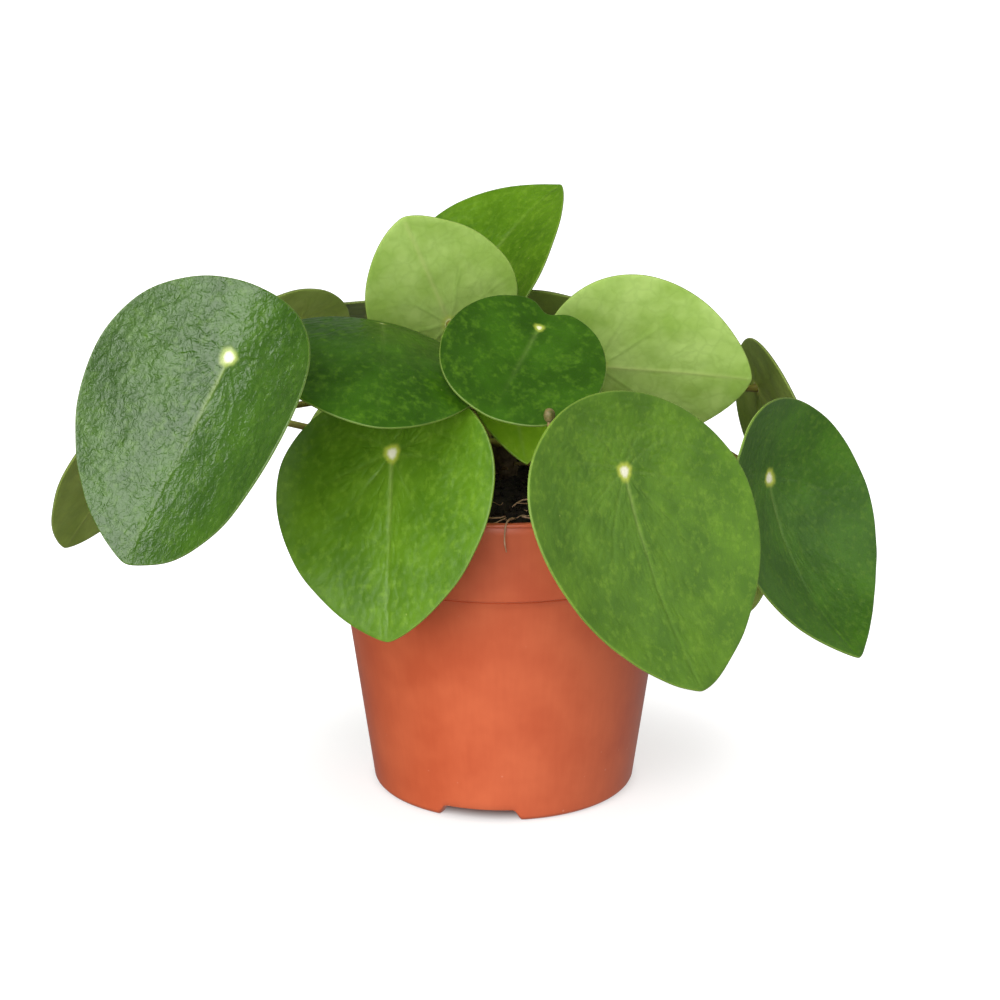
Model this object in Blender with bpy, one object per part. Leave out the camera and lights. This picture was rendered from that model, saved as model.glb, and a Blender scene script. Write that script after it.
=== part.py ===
"""Potted pilea: a young pilea in a twelve-centimetre nursery pot.

The pot stands on its foot ring at Z = 0 and its axis is the design axis: every place
below is measured from that axis, +Z up and -Y to the front. All nodes hang under one
empty, which moves the design axis so that the plant's own box is centred on the frame.
Lengths are written in millimetres and turned into metres by MM.
"""
import math
from dataclasses import dataclass

import bpy
from mathutils import Matrix, Vector

MM = 0.001

# Where the pot's axis stands in the frame.
POT_AXIS_X = 13.2
POT_AXIS_Y = -5.2

# Clearance that two touching pieces keep.
FIT_GAP = 0.3
FACET_ALLOWANCE = 0.12

# Nursery pot.
POT_HEIGHT = 110.0
POT_WALL = 1.2
RIM_RADIUS = 60.0
RIM_LIP_HEIGHT = 1.6
BAND_TOP_RADIUS = 59.3
BAND_LOW_RADIUS = 57.8
BAND_HEIGHT = 27.5
BODY_TOP_RADIUS = 56.2
BODY_LOW_RADIUS = 44.7
FOOT_ROUNDING = 2.2
FOOT_RING_WIDTH = 2.5
FLOOR_LIFT = 4.0
FLOOR_THICKNESS = 1.5
FLOOR_BEVEL = 2.0
FOOT_RING_FLARE = 1.2
EDGE_BEVEL = 0.4
STEP_RUN = 1.0
NOTCH_COUNT = 3
NOTCH_HEIGHT = 3.8
NOTCH_TOP_WIDTH = 22.0
NOTCH_LOW_WIDTH = 28.0
NOTCH_INNER_RADIUS = 30.0
NOTCH_BEARING = -11.0
DRAIN_COUNT = 6
DRAIN_RADIUS = 4.0
DRAIN_CIRCLE = 28.0
DRAIN_BEARING = 30.0
CUT_OVERRUN = 2.0

# Compost and stem.
SOIL_EDGE_DEPTH = 3.5
SOIL_CROWN = 2.0
SOIL_SHOULDER_RADIUS = 42.0
SOIL_SHOULDER_RISE = 1.6
SOIL_BEVEL = 2.3
STEM_LOW_RADIUS = 4.6
STEM_TOP_RADIUS = 3.2
STEM_DEPTH = 18.0
STEM_TOP = 152.0
STEM_LEAN = (0.02, -0.05)
STEM_SPACING = 8.0
STEM_STEPS = 5
STEM_CAP = ((3.0, 0.8), (5.0, 0.3))

# Leaves.
BLADE_THICKNESS = 1.0
TIP_BLUNTNESS = 0.004
NOTCH_SPREAD = 0.2
FOLD_SOFTNESS = 2.0
PETIOLE_RADIUS = 1.1
PETIOLE_FLARE = 0.3

# How finely round things are cut up.
POT_SEGMENTS = 48
DRAIN_SEGMENTS = 12
BUD_SEGMENTS = 10
BUD_TURNS = (45.0, 90.0, 135.0)
FOOT_STEPS = 5
BLADE_SEGMENTS = 20
BLADE_RINGS = (0.4, 0.75, 1.0)
OUTLINE_SAMPLES = 200
PETIOLE_POINTS = 10
STEM_SIDES = 12
PETIOLE_SIDES = 8
THREAD_SIDES = 6
SHARP_ANGLE = 35.0


@dataclass(frozen=True)
class Leaf:
    """One leaf: a blade held at its insertion point, and the petiole that carries it.

    Places are millimetres from the design axis, angles are degrees. ``facing`` is the
    compass bearing of the upper face (0 to the front, 90 to +X) and ``lift`` its height
    above the horizon. ``swing`` turns the tip away from straight downhill. ``inset`` is
    the share of the length behind the insertion, ``taper`` how pointed the tip is.
    ``droop`` and ``roll`` are the bends along and across the blade in 1/m, ``fold`` and
    ``cup`` the rise of its sides from the midrib and from the insertion. ``lean`` makes
    one side of the blade wider than the other, and ``skew`` sets it nearer the tip.
    The petiole leaves the stem at ``node`` height towards ``bearing``, rising at
    ``rise`` degrees; ``reach`` and ``approach`` are its two handles, and ``crest``
    lifts the second one so that the petiole arches over before it meets the blade.
    """

    name: str
    insertion: tuple
    facing: float
    lift: float
    swing: float
    length: float
    width: float
    node: float
    bearing: float
    rise: float
    reach: float
    approach: float
    crest: float = 0.0
    inset: float = 0.27
    taper: float = 0.2
    droop: float = 3.0
    roll: float = 1.0
    fold: float = 0.0
    cup: float = 0.0
    lean: float = 0.0
    skew: float = 0.0
    notch: float = 0.0
    petiole_scale: float = 1.0


LEAVES = (
    # The two big leaves that hang over the front of the pot.
    Leaf("front_left", (-36, -52, 131.5), facing=-34, lift=23, swing=12.5, length=83.5,
         width=83.5, taper=0.24, droop=1.5, roll=-1, fold=0.03, cup=0.02, lean=-0.03,
         skew=-0.02, node=121, bearing=-30, rise=20, reach=34, approach=20),
    Leaf("front_right", (38, -78, 133.5), facing=46.5, lift=18, swing=-1, length=99.5, width=99,
         inset=0.26, taper=0.24, droop=-4.5, roll=-5, fold=-0.04, cup=0.01, lean=0.02,
         skew=0.12, node=119, bearing=34, rise=22, reach=38, approach=22),
    # The outer leaves on long petioles.
    Leaf("far_left", (-86.5, -68, 168), facing=-21, lift=27, swing=-16.5, length=96.5, width=90,
         inset=0.25, taper=0.19, droop=-0.5, roll=-14, fold=0.16, cup=0.05, lean=0.08, node=139,
         bearing=-87, rise=0, reach=87, approach=60, crest=-15),
    Leaf("far_left_back", (-118, 20, 120.5), facing=-131, lift=37, swing=23, length=76,
         width=71.5, inset=0.25, taper=0.22, droop=4, fold=-0.01, node=113, bearing=-74,
         rise=13, reach=79, approach=10, crest=25),
    Leaf("far_right", (89, -7, 109), facing=55.5, lift=6.5, swing=-4, length=101, width=92.5,
         inset=0.29, taper=0.34, droop=-10.5, roll=-5.5, fold=0.03, cup=0.13, lean=-0.01,
         skew=0.18, node=116, bearing=84, rise=20, reach=55, approach=15, crest=9),
    # The ring of leaves round the top.
    Leaf("mid_left", (-40, -18, 165.7), facing=-51.5, lift=106, swing=55.5, length=79,
         width=76.5, inset=0.08, taper=0.07, droop=10.5, roll=8, fold=-0.03, cup=0.01,
         lean=-0.07, skew=-0.08, node=132, bearing=-58, rise=10, reach=20, approach=20),
    Leaf("centre", (11.5, -30, 167.5), facing=28, lift=60, swing=-44.5, length=59, width=54,
         inset=0.21, taper=-0.14, droop=1.5, roll=-1.5, fold=0.18, cup=-0.01, lean=0.04,
         notch=4.5, node=147, bearing=70, rise=40, reach=14, approach=16, petiole_scale=0.9),
    Leaf("top_pale", (-18.5, 16, 157), facing=199, lift=17.5, swing=155, length=61.5, width=52,
         inset=0.25, taper=0.18, droop=-2, roll=1.5, fold=-0.03, cup=-0.01, lean=0.03,
         skew=-0.05, node=146, bearing=-75, rise=45, reach=8, approach=12, petiole_scale=0.9),
    Leaf("top_dark", (-13, 52, 156.5), facing=-50.5, lift=31, swing=174.5, length=71.5,
         width=67.5, inset=0.25, taper=0.36, droop=10.5, roll=-3.5, fold=0.1, cup=-0.01,
         lean=0.03, skew=0.02, node=141, bearing=178, rise=35, reach=24, approach=15),
    Leaf("right_pale", (32, 12, 143), facing=184, lift=16.5, swing=-85, length=74, width=68.5,
         inset=0.29, taper=0.22, droop=2, roll=0, fold=0.05, lean=-0.04, node=128, bearing=80,
         rise=30, reach=14, approach=12),
    # The back of the plant.
    Leaf("back_right", (89.5, 54, 123.5), facing=110.5, lift=16, swing=-48, length=68,
         width=70.5, inset=0.21, taper=0.19, droop=0.5, roll=2.5, fold=-0.03, node=126,
         bearing=166, rise=14, reach=36, approach=18, crest=6),
    Leaf("back_left", (-72, 52, 147.5), facing=-138, lift=36, swing=31.5, length=67.5,
         width=70.5, inset=0.24, taper=0.22, roll=3.5, node=129, bearing=-128, rise=22,
         reach=42, approach=20),
    Leaf("back_left_dark", (-47, 86, 141.5), facing=-173.5, lift=60, swing=2, length=74, width=68,
         roll=2, fold=0.01, node=123, bearing=-150, rise=20, reach=40, approach=20),
    Leaf("back_middle", (15, 62, 147), facing=166, lift=47, swing=6.5, length=73, width=66,
         roll=2, fold=-0.02, node=134, bearing=160, rise=25, reach=26, approach=18),
    Leaf("rear_left", (-35, 87, 102), facing=-165, lift=12, swing=5, length=82, width=76,
         node=116, bearing=-160, rise=24, reach=40, approach=16, crest=14),
    Leaf("rear_right", (28, 80, 101), facing=164, lift=14, swing=-4, length=82, width=72,
         node=112.5, bearing=170, rise=22, reach=38, approach=16, crest=14),
    Leaf("rear_side", (78, 54, 85), facing=122, lift=10, swing=6, length=70, width=60, node=116,
         bearing=147, rise=14, reach=44, approach=12, crest=33),
    # The newest leaf, still cupped, under the centre one.
    Leaf("young", (1.5, -28, 148.5), facing=21.5, lift=44, swing=-2.5, length=42.5, width=29.5,
         inset=0.3, taper=0.35, droop=2, roll=-11, node=139, bearing=-4, rise=20, reach=9,
         approach=10, petiole_scale=0.7),
)

# The unopened leaf bud on its stalk, and the bared root ends on the compost.
BUD_CENTRE = (14.2, -74.0, 150.8)
BUD_RADIUS = 1.9
BUD_HEIGHT = 4.6
BUD_STALK_RADIUS = 0.6
BUD_STALK = ((3.8, -3.4, 113.0), (25.0, -23.0, 118.0), (14.0, -71.0, 130.0))
ROOT_RADIUS = 0.45
ROOTS = {
    "root_over_rim": ((3.5, -51.0, 108.8), (3.0, -55.5, 110.6), (1.8, -58.5, 111.3),
                      (0.6, -61.2, 110.2), (0.2, -61.6, 105.0), (0.8, -61.0, 101.0)),
    "root_left": ((-20.0, -46.0, 108.5), (-11.0, -50.5, 109.2), (-2.0, -50.0, 109.0),
                  (0.5, -47.0, 108.6)),
    "root_right": ((6.0, -48.0, 108.8), (10.0, -52.0, 109.4), (16.0, -50.0, 109.0),
                   (23.0, -45.0, 108.7)),
    "root_back": ((-26.0, 38.0, 108.9), (-12.0, 47.0, 108.9), (4.0, 44.0, 109.0),
                  (15.0, 49.0, 108.6)),
}

# Linear red, green, blue and roughness of each finish.
POT_LOOK = (0.56, 0.10, 0.04, 0.45)
SOIL_LOOK = (0.010, 0.007, 0.005, 0.95)
STEM_LOOK = (0.08, 0.05, 0.02, 0.8)
BLADE_LOOK = (0.05, 0.17, 0.01, 0.4)
PETIOLE_LOOK = (0.14, 0.19, 0.05, 0.45)
BUD_LOOK = (0.20, 0.19, 0.08, 0.5)
ROOT_LOOK = (0.45, 0.30, 0.16, 0.7)


def clear_scene():
    """Remove every object that the file starts with."""
    for item in list(bpy.data.objects):
        bpy.data.objects.remove(item, do_unlink=True)


def finish(name, look):
    """Make one Principled material from its colour and roughness."""
    *colour, roughness = look
    material = bpy.data.materials.new(name)
    material.use_nodes = True
    shader = material.node_tree.nodes["Principled BSDF"]
    shader.inputs["Base Color"].default_value = (*colour, 1.0)
    shader.inputs["Roughness"].default_value = roughness
    shader.inputs["Metallic"].default_value = 0.0
    return material


def add_node(name, data, parent, material=None):
    """Put a mesh or a curve into the scene as one named object under the parent."""
    node = bpy.data.objects.new(name, data)
    bpy.context.scene.collection.objects.link(node)
    node.parent = parent
    if material is not None:
        data.materials.append(material)
    return node


def mesh_from(name, points, faces):
    """Build a smooth-shaded mesh from points in millimetres."""
    mesh = bpy.data.meshes.new(name)
    mesh.from_pydata([Vector(point) * MM for point in points], [], faces)
    mesh.validate()
    mesh.shade_smooth()
    mesh.set_sharp_from_angle(angle=math.radians(SHARP_ANGLE))
    return mesh


def bearing_vector(bearing, rise=0.0):
    """Unit vector towards a compass bearing, lifted by the rise in degrees."""
    turn = math.radians(bearing)
    climb = math.radians(rise)
    flat = math.cos(climb)
    return Vector((flat * math.sin(turn), -flat * math.cos(turn), math.sin(climb)))


# ---------------------------------------------------------------- pot and compost

def lathe(name, profile, segments):
    """Turn a profile of (radius, height) about Z; radius 0 closes on the axis.

    The profile runs so that the solid lies on its left, which turns the faces out.
    A profile whose ends are both off the axis is closed back on itself.
    """
    points = []
    rings = []
    for radius, height in profile:
        if radius == 0.0:
            rings.append([len(points)] * segments)
            points.append((0.0, 0.0, height))
            continue
        rings.append(list(range(len(points), len(points) + segments)))
        for step in range(segments):
            turn = 2.0 * math.pi * step / segments
            points.append((radius * math.cos(turn), radius * math.sin(turn), height))
    faces = []
    for low, high in zip(rings, rings[1:]):
        for step in range(segments):
            after = (step + 1) % segments
            corners = (low[step], low[after], high[after], high[step])
            faces.append(tuple(dict.fromkeys(corners)))
    return mesh_from(name, points, faces)


def arc_points(centre, radius, start, end, steps):
    """Points of an arc in the (radius, height) plane, angles in degrees."""
    turns = [math.radians(start + (end - start) * step / steps) for step in range(steps + 1)]
    return [(centre[0] + radius * math.cos(turn), centre[1] + radius * math.sin(turn))
            for turn in turns]


def band_bottom():
    """Height at which the rim band steps out from the body."""
    return POT_HEIGHT - BAND_HEIGHT


def inner_radius(height):
    """Radius of the inside wall of the pot at a height on the body or the band."""
    if height >= band_bottom():
        share = (height - band_bottom()) / BAND_HEIGHT
        return BAND_LOW_RADIUS + share * (BAND_TOP_RADIUS - BAND_LOW_RADIUS) - POT_WALL
    share = (height - FOOT_ROUNDING) / (band_bottom() - FOOT_ROUNDING)
    return BODY_LOW_RADIUS + share * (BODY_TOP_RADIUS - BODY_LOW_RADIUS) - POT_WALL


def pot_profile():
    """Section of the pot from the axis under the floor, out, up and back in."""
    ground_radius = BODY_LOW_RADIUS - FOOT_ROUNDING
    floor_top = FLOOR_LIFT + FLOOR_THICKNESS
    lip_bottom = POT_HEIGHT - RIM_LIP_HEIGHT
    step_low = band_bottom()
    profile = [(0.0, FLOOR_LIFT), (ground_radius + FOOT_RING_FLARE, FLOOR_LIFT),
               (ground_radius - FOOT_RING_WIDTH, 0.0)]
    profile += arc_points((ground_radius, FOOT_ROUNDING), FOOT_ROUNDING, -90.0, 0.0, FOOT_STEPS)
    profile += [(BODY_TOP_RADIUS, step_low - EDGE_BEVEL), (BODY_TOP_RADIUS + EDGE_BEVEL, step_low),
                (BAND_LOW_RADIUS - EDGE_BEVEL, step_low), (BAND_LOW_RADIUS, step_low + EDGE_BEVEL),
                (BAND_TOP_RADIUS, lip_bottom), (RIM_RADIUS, lip_bottom + EDGE_BEVEL),
                (RIM_RADIUS, POT_HEIGHT - EDGE_BEVEL), (RIM_RADIUS - EDGE_BEVEL, POT_HEIGHT)]
    profile += [(inner_radius(height), height)
                for height in (POT_HEIGHT, step_low + STEP_RUN, step_low - STEP_RUN,
                               floor_top + FLOOR_BEVEL)]
    profile += [(inner_radius(floor_top + FLOOR_BEVEL) - FLOOR_BEVEL, floor_top), (0.0, floor_top)]
    return profile


def cutter_node(name, points, faces, parent):
    """A hidden cutter for a Boolean."""
    cutter = add_node(name, mesh_from(name, points, faces), parent)
    cutter.hide_render = True
    cutter.display_type = "WIRE"
    return cutter


def notch_prism(bearing, first):
    """Points and faces of one tapered block that cuts a foot notch."""
    outward = bearing_vector(bearing)
    sideways = Vector((-outward.y, outward.x, 0.0))
    flare = (NOTCH_LOW_WIDTH - NOTCH_TOP_WIDTH) / NOTCH_HEIGHT
    corners = ((NOTCH_LOW_WIDTH + flare * CUT_OVERRUN, -CUT_OVERRUN),
               (NOTCH_TOP_WIDTH, NOTCH_HEIGHT))
    points = []
    for reach in (NOTCH_INNER_RADIUS, BODY_LOW_RADIUS + CUT_OVERRUN):
        for width, height in corners:
            for side in (-0.5, 0.5):
                points.append(outward * reach + sideways * width * side
                              + Vector((0.0, 0.0, height)))
    quads = ((2, 3, 1, 0), (5, 7, 6, 4), (1, 5, 4, 0), (6, 7, 3, 2), (4, 6, 2, 0), (3, 7, 5, 1))
    faces = [tuple(first + corner for corner in quad) for quad in quads]
    return points, faces


def drain_cylinder(bearing, first):
    """Points and faces of one upright cylinder that cuts a drain hole."""
    centre = bearing_vector(bearing) * DRAIN_CIRCLE
    points = []
    for height in (FLOOR_LIFT - CUT_OVERRUN, FLOOR_LIFT + FLOOR_THICKNESS + CUT_OVERRUN):
        for step in range(DRAIN_SEGMENTS):
            spoke = bearing_vector(360.0 * step / DRAIN_SEGMENTS) * DRAIN_RADIUS
            points.append(centre + spoke + Vector((0.0, 0.0, height)))
    faces = [tuple(first + step for step in reversed(range(DRAIN_SEGMENTS))),
             tuple(first + DRAIN_SEGMENTS + step for step in range(DRAIN_SEGMENTS))]
    for step in range(DRAIN_SEGMENTS):
        after = (step + 1) % DRAIN_SEGMENTS
        faces.append((first + step, first + after, first + DRAIN_SEGMENTS + after,
                      first + DRAIN_SEGMENTS + step))
    return points, faces


def cutter_ring(name, make_one, count, bearing, parent):
    """Repeat one cutter evenly round the axis as a single hidden object."""
    points = []
    faces = []
    for turn in range(count):
        more_points, more_faces = make_one(bearing + 360.0 * turn / count, len(points))
        points += more_points
        faces += more_faces
    return cutter_node(name, points, faces, parent)


def make_pot(parent):
    """The pot: a turned thin-walled shell with foot notches and drain holes."""
    plastic = finish("terracotta_plastic", POT_LOOK)
    pot = add_node("pot", lathe("pot", pot_profile(), POT_SEGMENTS), parent, plastic)
    cutters = (
        cutter_ring("foot_notch_cutter", notch_prism, NOTCH_COUNT, NOTCH_BEARING, parent),
        cutter_ring("drain_hole_cutter", drain_cylinder, DRAIN_COUNT, DRAIN_BEARING, parent),
    )
    for cutter in cutters:
        cut = pot.modifiers.new(cutter.name, "BOOLEAN")
        cut.operation = "DIFFERENCE"
        cut.object = cutter


def soil_edge_height():
    """Height of the compost where it meets the pot wall."""
    return POT_HEIGHT - SOIL_EDGE_DEPTH


def make_soil(parent):
    """The compost: fills the pot from its floor, with a well for the buried stem."""
    floor_top = FLOOR_LIFT + FLOOR_THICKNESS
    crown = soil_edge_height() + SOIL_CROWN
    well_radius = STEM_LOW_RADIUS + FIT_GAP
    well_floor = crown - STEM_DEPTH
    wall_heights = (floor_top + SOIL_BEVEL, band_bottom() - STEP_RUN,
                    band_bottom() + STEP_RUN + FIT_GAP, soil_edge_height())
    profile = [(0.0, floor_top + FIT_GAP),
               (inner_radius(wall_heights[0]) - SOIL_BEVEL, floor_top + FIT_GAP)]
    profile += [(inner_radius(height) - FIT_GAP, height) for height in wall_heights]
    profile += [(SOIL_SHOULDER_RADIUS, soil_edge_height() + SOIL_SHOULDER_RISE),
                (well_radius, crown), (well_radius, well_floor), (0.0, well_floor)]
    peat = finish("peat_compost", SOIL_LOOK)
    add_node("soil", lathe("soil", profile, POT_SEGMENTS), parent, peat)


# ---------------------------------------------------------------- stem and stalks

def tube_curve(name, points, radii, sides):
    """A capped round tube through points in millimetres, one radius for each point."""
    curve = bpy.data.curves.new(name, "CURVE")
    curve.dimensions = "3D"
    curve.twist_mode = "MINIMUM"
    curve.bevel_depth = MM
    curve.bevel_resolution = sides // 2 - 2
    curve.use_fill_caps = True
    spline = curve.splines.new("POLY")
    spline.points.add(len(points) - 1)
    for target, point, radius in zip(spline.points, points, radii):
        target.co = (*(Vector(point) * MM), 1.0)
        target.radius = radius
    return curve


def stem_axis(height):
    """Point of the stem's axis at a height."""
    climb = height - soil_edge_height()
    return Vector((STEM_LEAN[0] * climb, STEM_LEAN[1] * climb, height))


def stem_radius(height):
    """Radius of the stem at a height, tapering evenly above the compost."""
    share = (height - soil_edge_height()) / (STEM_TOP - soil_edge_height())
    share = min(max(share, 0.0), 1.0)
    return STEM_LOW_RADIUS + share * (STEM_TOP_RADIUS - STEM_LOW_RADIUS)


def make_stem(parent):
    """The upright woody stem, from its buried foot to its rounded growing tip."""
    foot = soil_edge_height() + SOIL_CROWN - STEM_DEPTH + FIT_GAP
    heights = [foot, soil_edge_height()]
    heights += [soil_edge_height() + STEM_SPACING * (step + 1) for step in range(STEM_STEPS)]
    points = [Vector((0.0, 0.0, foot))] + [stem_axis(height) for height in heights[1:]]
    radii = [stem_radius(height) for height in heights]
    for rise, share in STEM_CAP:
        points.append(stem_axis(heights[-1] + rise))
        radii.append(share * stem_radius(STEM_TOP))
    bark = finish("brown_bark", STEM_LOOK)
    add_node("stem", tube_curve("stem", points, radii, STEM_SIDES), parent, bark)


def bezier(handles, count):
    """Evenly stepped points of a cubic through two ends and two handles."""
    first, second, third, last = (Vector(handle) for handle in handles)
    points = []
    for step in range(count):
        along = step / (count - 1)
        back = 1.0 - along
        points.append(first * back**3 + second * (3.0 * back**2 * along)
                      + third * (3.0 * back * along**2) + last * along**3)
    return points


def seat_distance(radius, direction, normal):
    """How far a tube's end centre stays off a face so that its rim clears it by the gap."""
    lean = min(abs(direction.normalized().dot(normal)), 1.0)
    return FIT_GAP + radius * math.sqrt(1.0 - lean * lean)


def make_petiole(leaf, parent, material):
    """The stalk of one leaf, from the stem to the underside of its blade."""
    radius = PETIOLE_RADIUS * leaf.petiole_scale
    base_radius = radius + PETIOLE_FLARE
    outward = bearing_vector(leaf.bearing)
    start_direction = bearing_vector(leaf.bearing, leaf.rise)
    start_gap = stem_radius(leaf.node) + seat_distance(base_radius, start_direction, outward)
    start = stem_axis(leaf.node) + outward * (start_gap + FACET_ALLOWANCE)
    up = blade_frame(leaf).col[2].to_3d()
    handle = Vector((0.0, 0.0, leaf.crest)) - up * leaf.approach
    end_gap = BLADE_THICKNESS + seat_distance(radius, handle, up) + FACET_ALLOWANCE
    end = Vector(leaf.insertion) - up * end_gap
    handles = (start, start + start_direction * leaf.reach, end + handle, end)
    radii = [base_radius, radius + 0.5 * PETIOLE_FLARE] + [radius] * (PETIOLE_POINTS - 2)
    curve = tube_curve(f"{leaf.name}_petiole", bezier(handles, PETIOLE_POINTS), radii,
                       PETIOLE_SIDES)
    add_node(f"{leaf.name}_petiole", curve, parent, material)


# ---------------------------------------------------------------- blades

def blade_frame(leaf):
    """Local axes of a blade: X towards the tip, Y across, Z out of its upper face."""
    facing = math.radians(leaf.facing)
    lift = math.radians(leaf.lift)
    swing = math.radians(leaf.swing)
    up = bearing_vector(leaf.facing, leaf.lift)
    downhill = Vector((math.sin(lift) * math.sin(facing), -math.sin(lift) * math.cos(facing),
                       -math.cos(lift)))
    along = downhill * math.cos(swing) + up.cross(downhill) * math.sin(swing)
    frame = Matrix((along, up.cross(along), up)).transposed().to_4x4()
    frame.translation = Vector(leaf.insertion) * MM
    return frame


def tip_shape(angle, taper):
    """Half width of the outline at an angle (0 tip, pi base), before scaling."""
    return math.sin(angle) * (math.sin(angle / 2.0)**2 + TIP_BLUNTNESS)**taper


def blade_outline(leaf, angle):
    """Place of the margin at an angle: along the midrib and across it."""
    peak = max(tip_shape(math.pi * step / OUTLINE_SAMPLES, leaf.taper)
               for step in range(OUTLINE_SAMPLES))
    from_base = abs(angle - math.pi)
    along = leaf.length * ((1.0 + math.cos(angle)) / 2.0 - leaf.inset)
    along += leaf.notch * math.exp(-(from_base / NOTCH_SPREAD)**2)
    across = leaf.width / 2.0 * tip_shape(angle, leaf.taper) / peak
    across += leaf.lean * abs(across)
    return along + leaf.skew * across, across


def bend_down(reach, height, curvature):
    """Bend a point of a flat strip down about a cylinder of the given curvature."""
    if abs(curvature) < 1e-9:
        return reach, height
    radius = 1.0 / curvature
    turn = reach * curvature
    return (radius + height) * math.sin(turn), (radius + height) * math.cos(turn) - radius


def blade_point(leaf, share, angle):
    """Point of the upper face at a share of the way from the insertion to the margin."""
    along, across = (share * reach for reach in blade_outline(leaf, angle))
    height = leaf.fold * (math.hypot(across, FOLD_SOFTNESS) - FOLD_SOFTNESS)
    height += leaf.cup * math.hypot(along, across)
    across, height = bend_down(across, height, leaf.roll * MM)
    along, height = bend_down(along, height, leaf.droop * MM)
    return along, across, height


def make_blade(leaf, parent, material):
    """One round leaf blade, a thin shell with its upper face modelled."""
    angles = [2.0 * math.pi * step / BLADE_SEGMENTS for step in range(BLADE_SEGMENTS)]
    points = [blade_point(leaf, 0.0, 0.0)]
    for share in BLADE_RINGS:
        points += [blade_point(leaf, share, angle) for angle in angles]
    faces = []
    for step in range(BLADE_SEGMENTS):
        after = (step + 1) % BLADE_SEGMENTS
        faces.append((0, 1 + step, 1 + after))
        for ring in range(len(BLADE_RINGS) - 1):
            inner = 1 + ring * BLADE_SEGMENTS
            outer = inner + BLADE_SEGMENTS
            faces.append((inner + step, outer + step, outer + after, inner + after))
    name = f"{leaf.name}_blade"
    blade = add_node(name, mesh_from(name, points, faces), parent, material)
    blade.matrix_local = blade_frame(leaf)
    shell = blade.modifiers.new("thickness", "SOLIDIFY")
    shell.thickness = BLADE_THICKNESS * MM
    shell.offset = -1.0


def make_bud(parent):
    """The unopened leaf bud, an egg-shaped knob on a thin stalk of its own."""
    skin = finish("bud_skin", BUD_LOOK)
    profile = [(0.0, 0.0)]
    profile += [(BUD_RADIUS * math.sin(math.radians(turn)),
                 BUD_HEIGHT * (1.0 - math.cos(math.radians(turn))) / 2.0)
                for turn in BUD_TURNS]
    profile.append((0.0, BUD_HEIGHT))
    bud = add_node("bud", lathe("bud", profile, BUD_SEGMENTS), parent, skin)
    bud.location = (Vector(BUD_CENTRE) - Vector((0.0, 0.0, BUD_HEIGHT / 2.0))) * MM
    end = Vector(BUD_CENTRE) - Vector((0.0, 0.0, BUD_HEIGHT / 2.0 + FIT_GAP))
    points = bezier((*BUD_STALK, end), PETIOLE_POINTS)
    curve = tube_curve("bud_stalk", points, [BUD_STALK_RADIUS] * PETIOLE_POINTS, THREAD_SIDES)
    add_node("bud_stalk", curve, parent, skin)


def make_roots(parent):
    """Bared root ends that lie on the compost, one of them over the rim."""
    skin = finish("root_skin", ROOT_LOOK)
    for name, route in ROOTS.items():
        curve = tube_curve(name, route, [ROOT_RADIUS] * len(route), THREAD_SIDES)
        add_node(name, curve, parent, skin)


def main():
    """Build the whole potted plant."""
    clear_scene()
    plant = bpy.data.objects.new("potted_pilea", None)
    bpy.context.scene.collection.objects.link(plant)
    plant.location = (POT_AXIS_X * MM, POT_AXIS_Y * MM, 0.0)
    make_pot(plant)
    make_soil(plant)
    make_stem(plant)
    blade_skin = finish("leaf_skin", BLADE_LOOK)
    petiole_skin = finish("petiole_skin", PETIOLE_LOOK)
    for leaf in LEAVES:
        make_petiole(leaf, plant, petiole_skin)
        make_blade(leaf, plant, blade_skin)
    make_bud(plant)
    make_roots(plant)


main()
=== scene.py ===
"""Looks of the potted pilea: leaves, petioles, stem, compost, roots and nursery pot.

Every piece is worked out as numpy arrays in millimetres from the pot's axis, +Z up and
-Y to the front, and is put into the frame in metres as the last step of its making.
"""

import logging
import math
from dataclasses import dataclass
from enum import Enum

import bpy
import numpy as np
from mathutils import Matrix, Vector


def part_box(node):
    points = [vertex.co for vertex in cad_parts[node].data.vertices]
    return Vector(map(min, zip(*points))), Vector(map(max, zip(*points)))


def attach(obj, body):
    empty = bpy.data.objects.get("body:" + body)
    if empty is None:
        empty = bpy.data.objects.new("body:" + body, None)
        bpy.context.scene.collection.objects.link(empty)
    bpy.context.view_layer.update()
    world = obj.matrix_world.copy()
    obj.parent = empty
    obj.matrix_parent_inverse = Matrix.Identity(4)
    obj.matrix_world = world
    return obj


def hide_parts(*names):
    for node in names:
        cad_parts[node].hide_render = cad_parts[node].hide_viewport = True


MM = 0.001
BODY = "root"

LOG = logging.getLogger("pilea")

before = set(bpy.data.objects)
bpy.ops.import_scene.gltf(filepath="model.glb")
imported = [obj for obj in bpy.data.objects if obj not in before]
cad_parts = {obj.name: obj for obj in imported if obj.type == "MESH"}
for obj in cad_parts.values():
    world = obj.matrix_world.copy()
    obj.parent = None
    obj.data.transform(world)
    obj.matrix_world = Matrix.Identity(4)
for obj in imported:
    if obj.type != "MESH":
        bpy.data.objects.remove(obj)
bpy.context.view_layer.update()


# ------------------------------------------------------------------ places and shapes

def pot_axis() -> np.ndarray:
    """Place of the pot's axis on the ground, in millimetres of the frame."""
    low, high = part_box("pot")
    return np.array([(low[0] + high[0]) / 2.0, (low[1] + high[1]) / 2.0, 0.0]) / MM


def bearing_vector(bearing: float, rise: float = 0.0) -> np.ndarray:
    """Unit vector towards a compass bearing (0 to the front, 90 to +X) lifted by a rise.

    Args:
        bearing: Degrees round Z from the front.
        rise: Degrees above the horizon.

    Returns:
        (cos r sin b, -cos r cos b, sin r).
    """
    turn, climb = math.radians(bearing), math.radians(rise)
    return np.array([math.cos(climb) * math.sin(turn), -math.cos(climb) * math.cos(turn),
                     math.sin(climb)])


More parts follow.
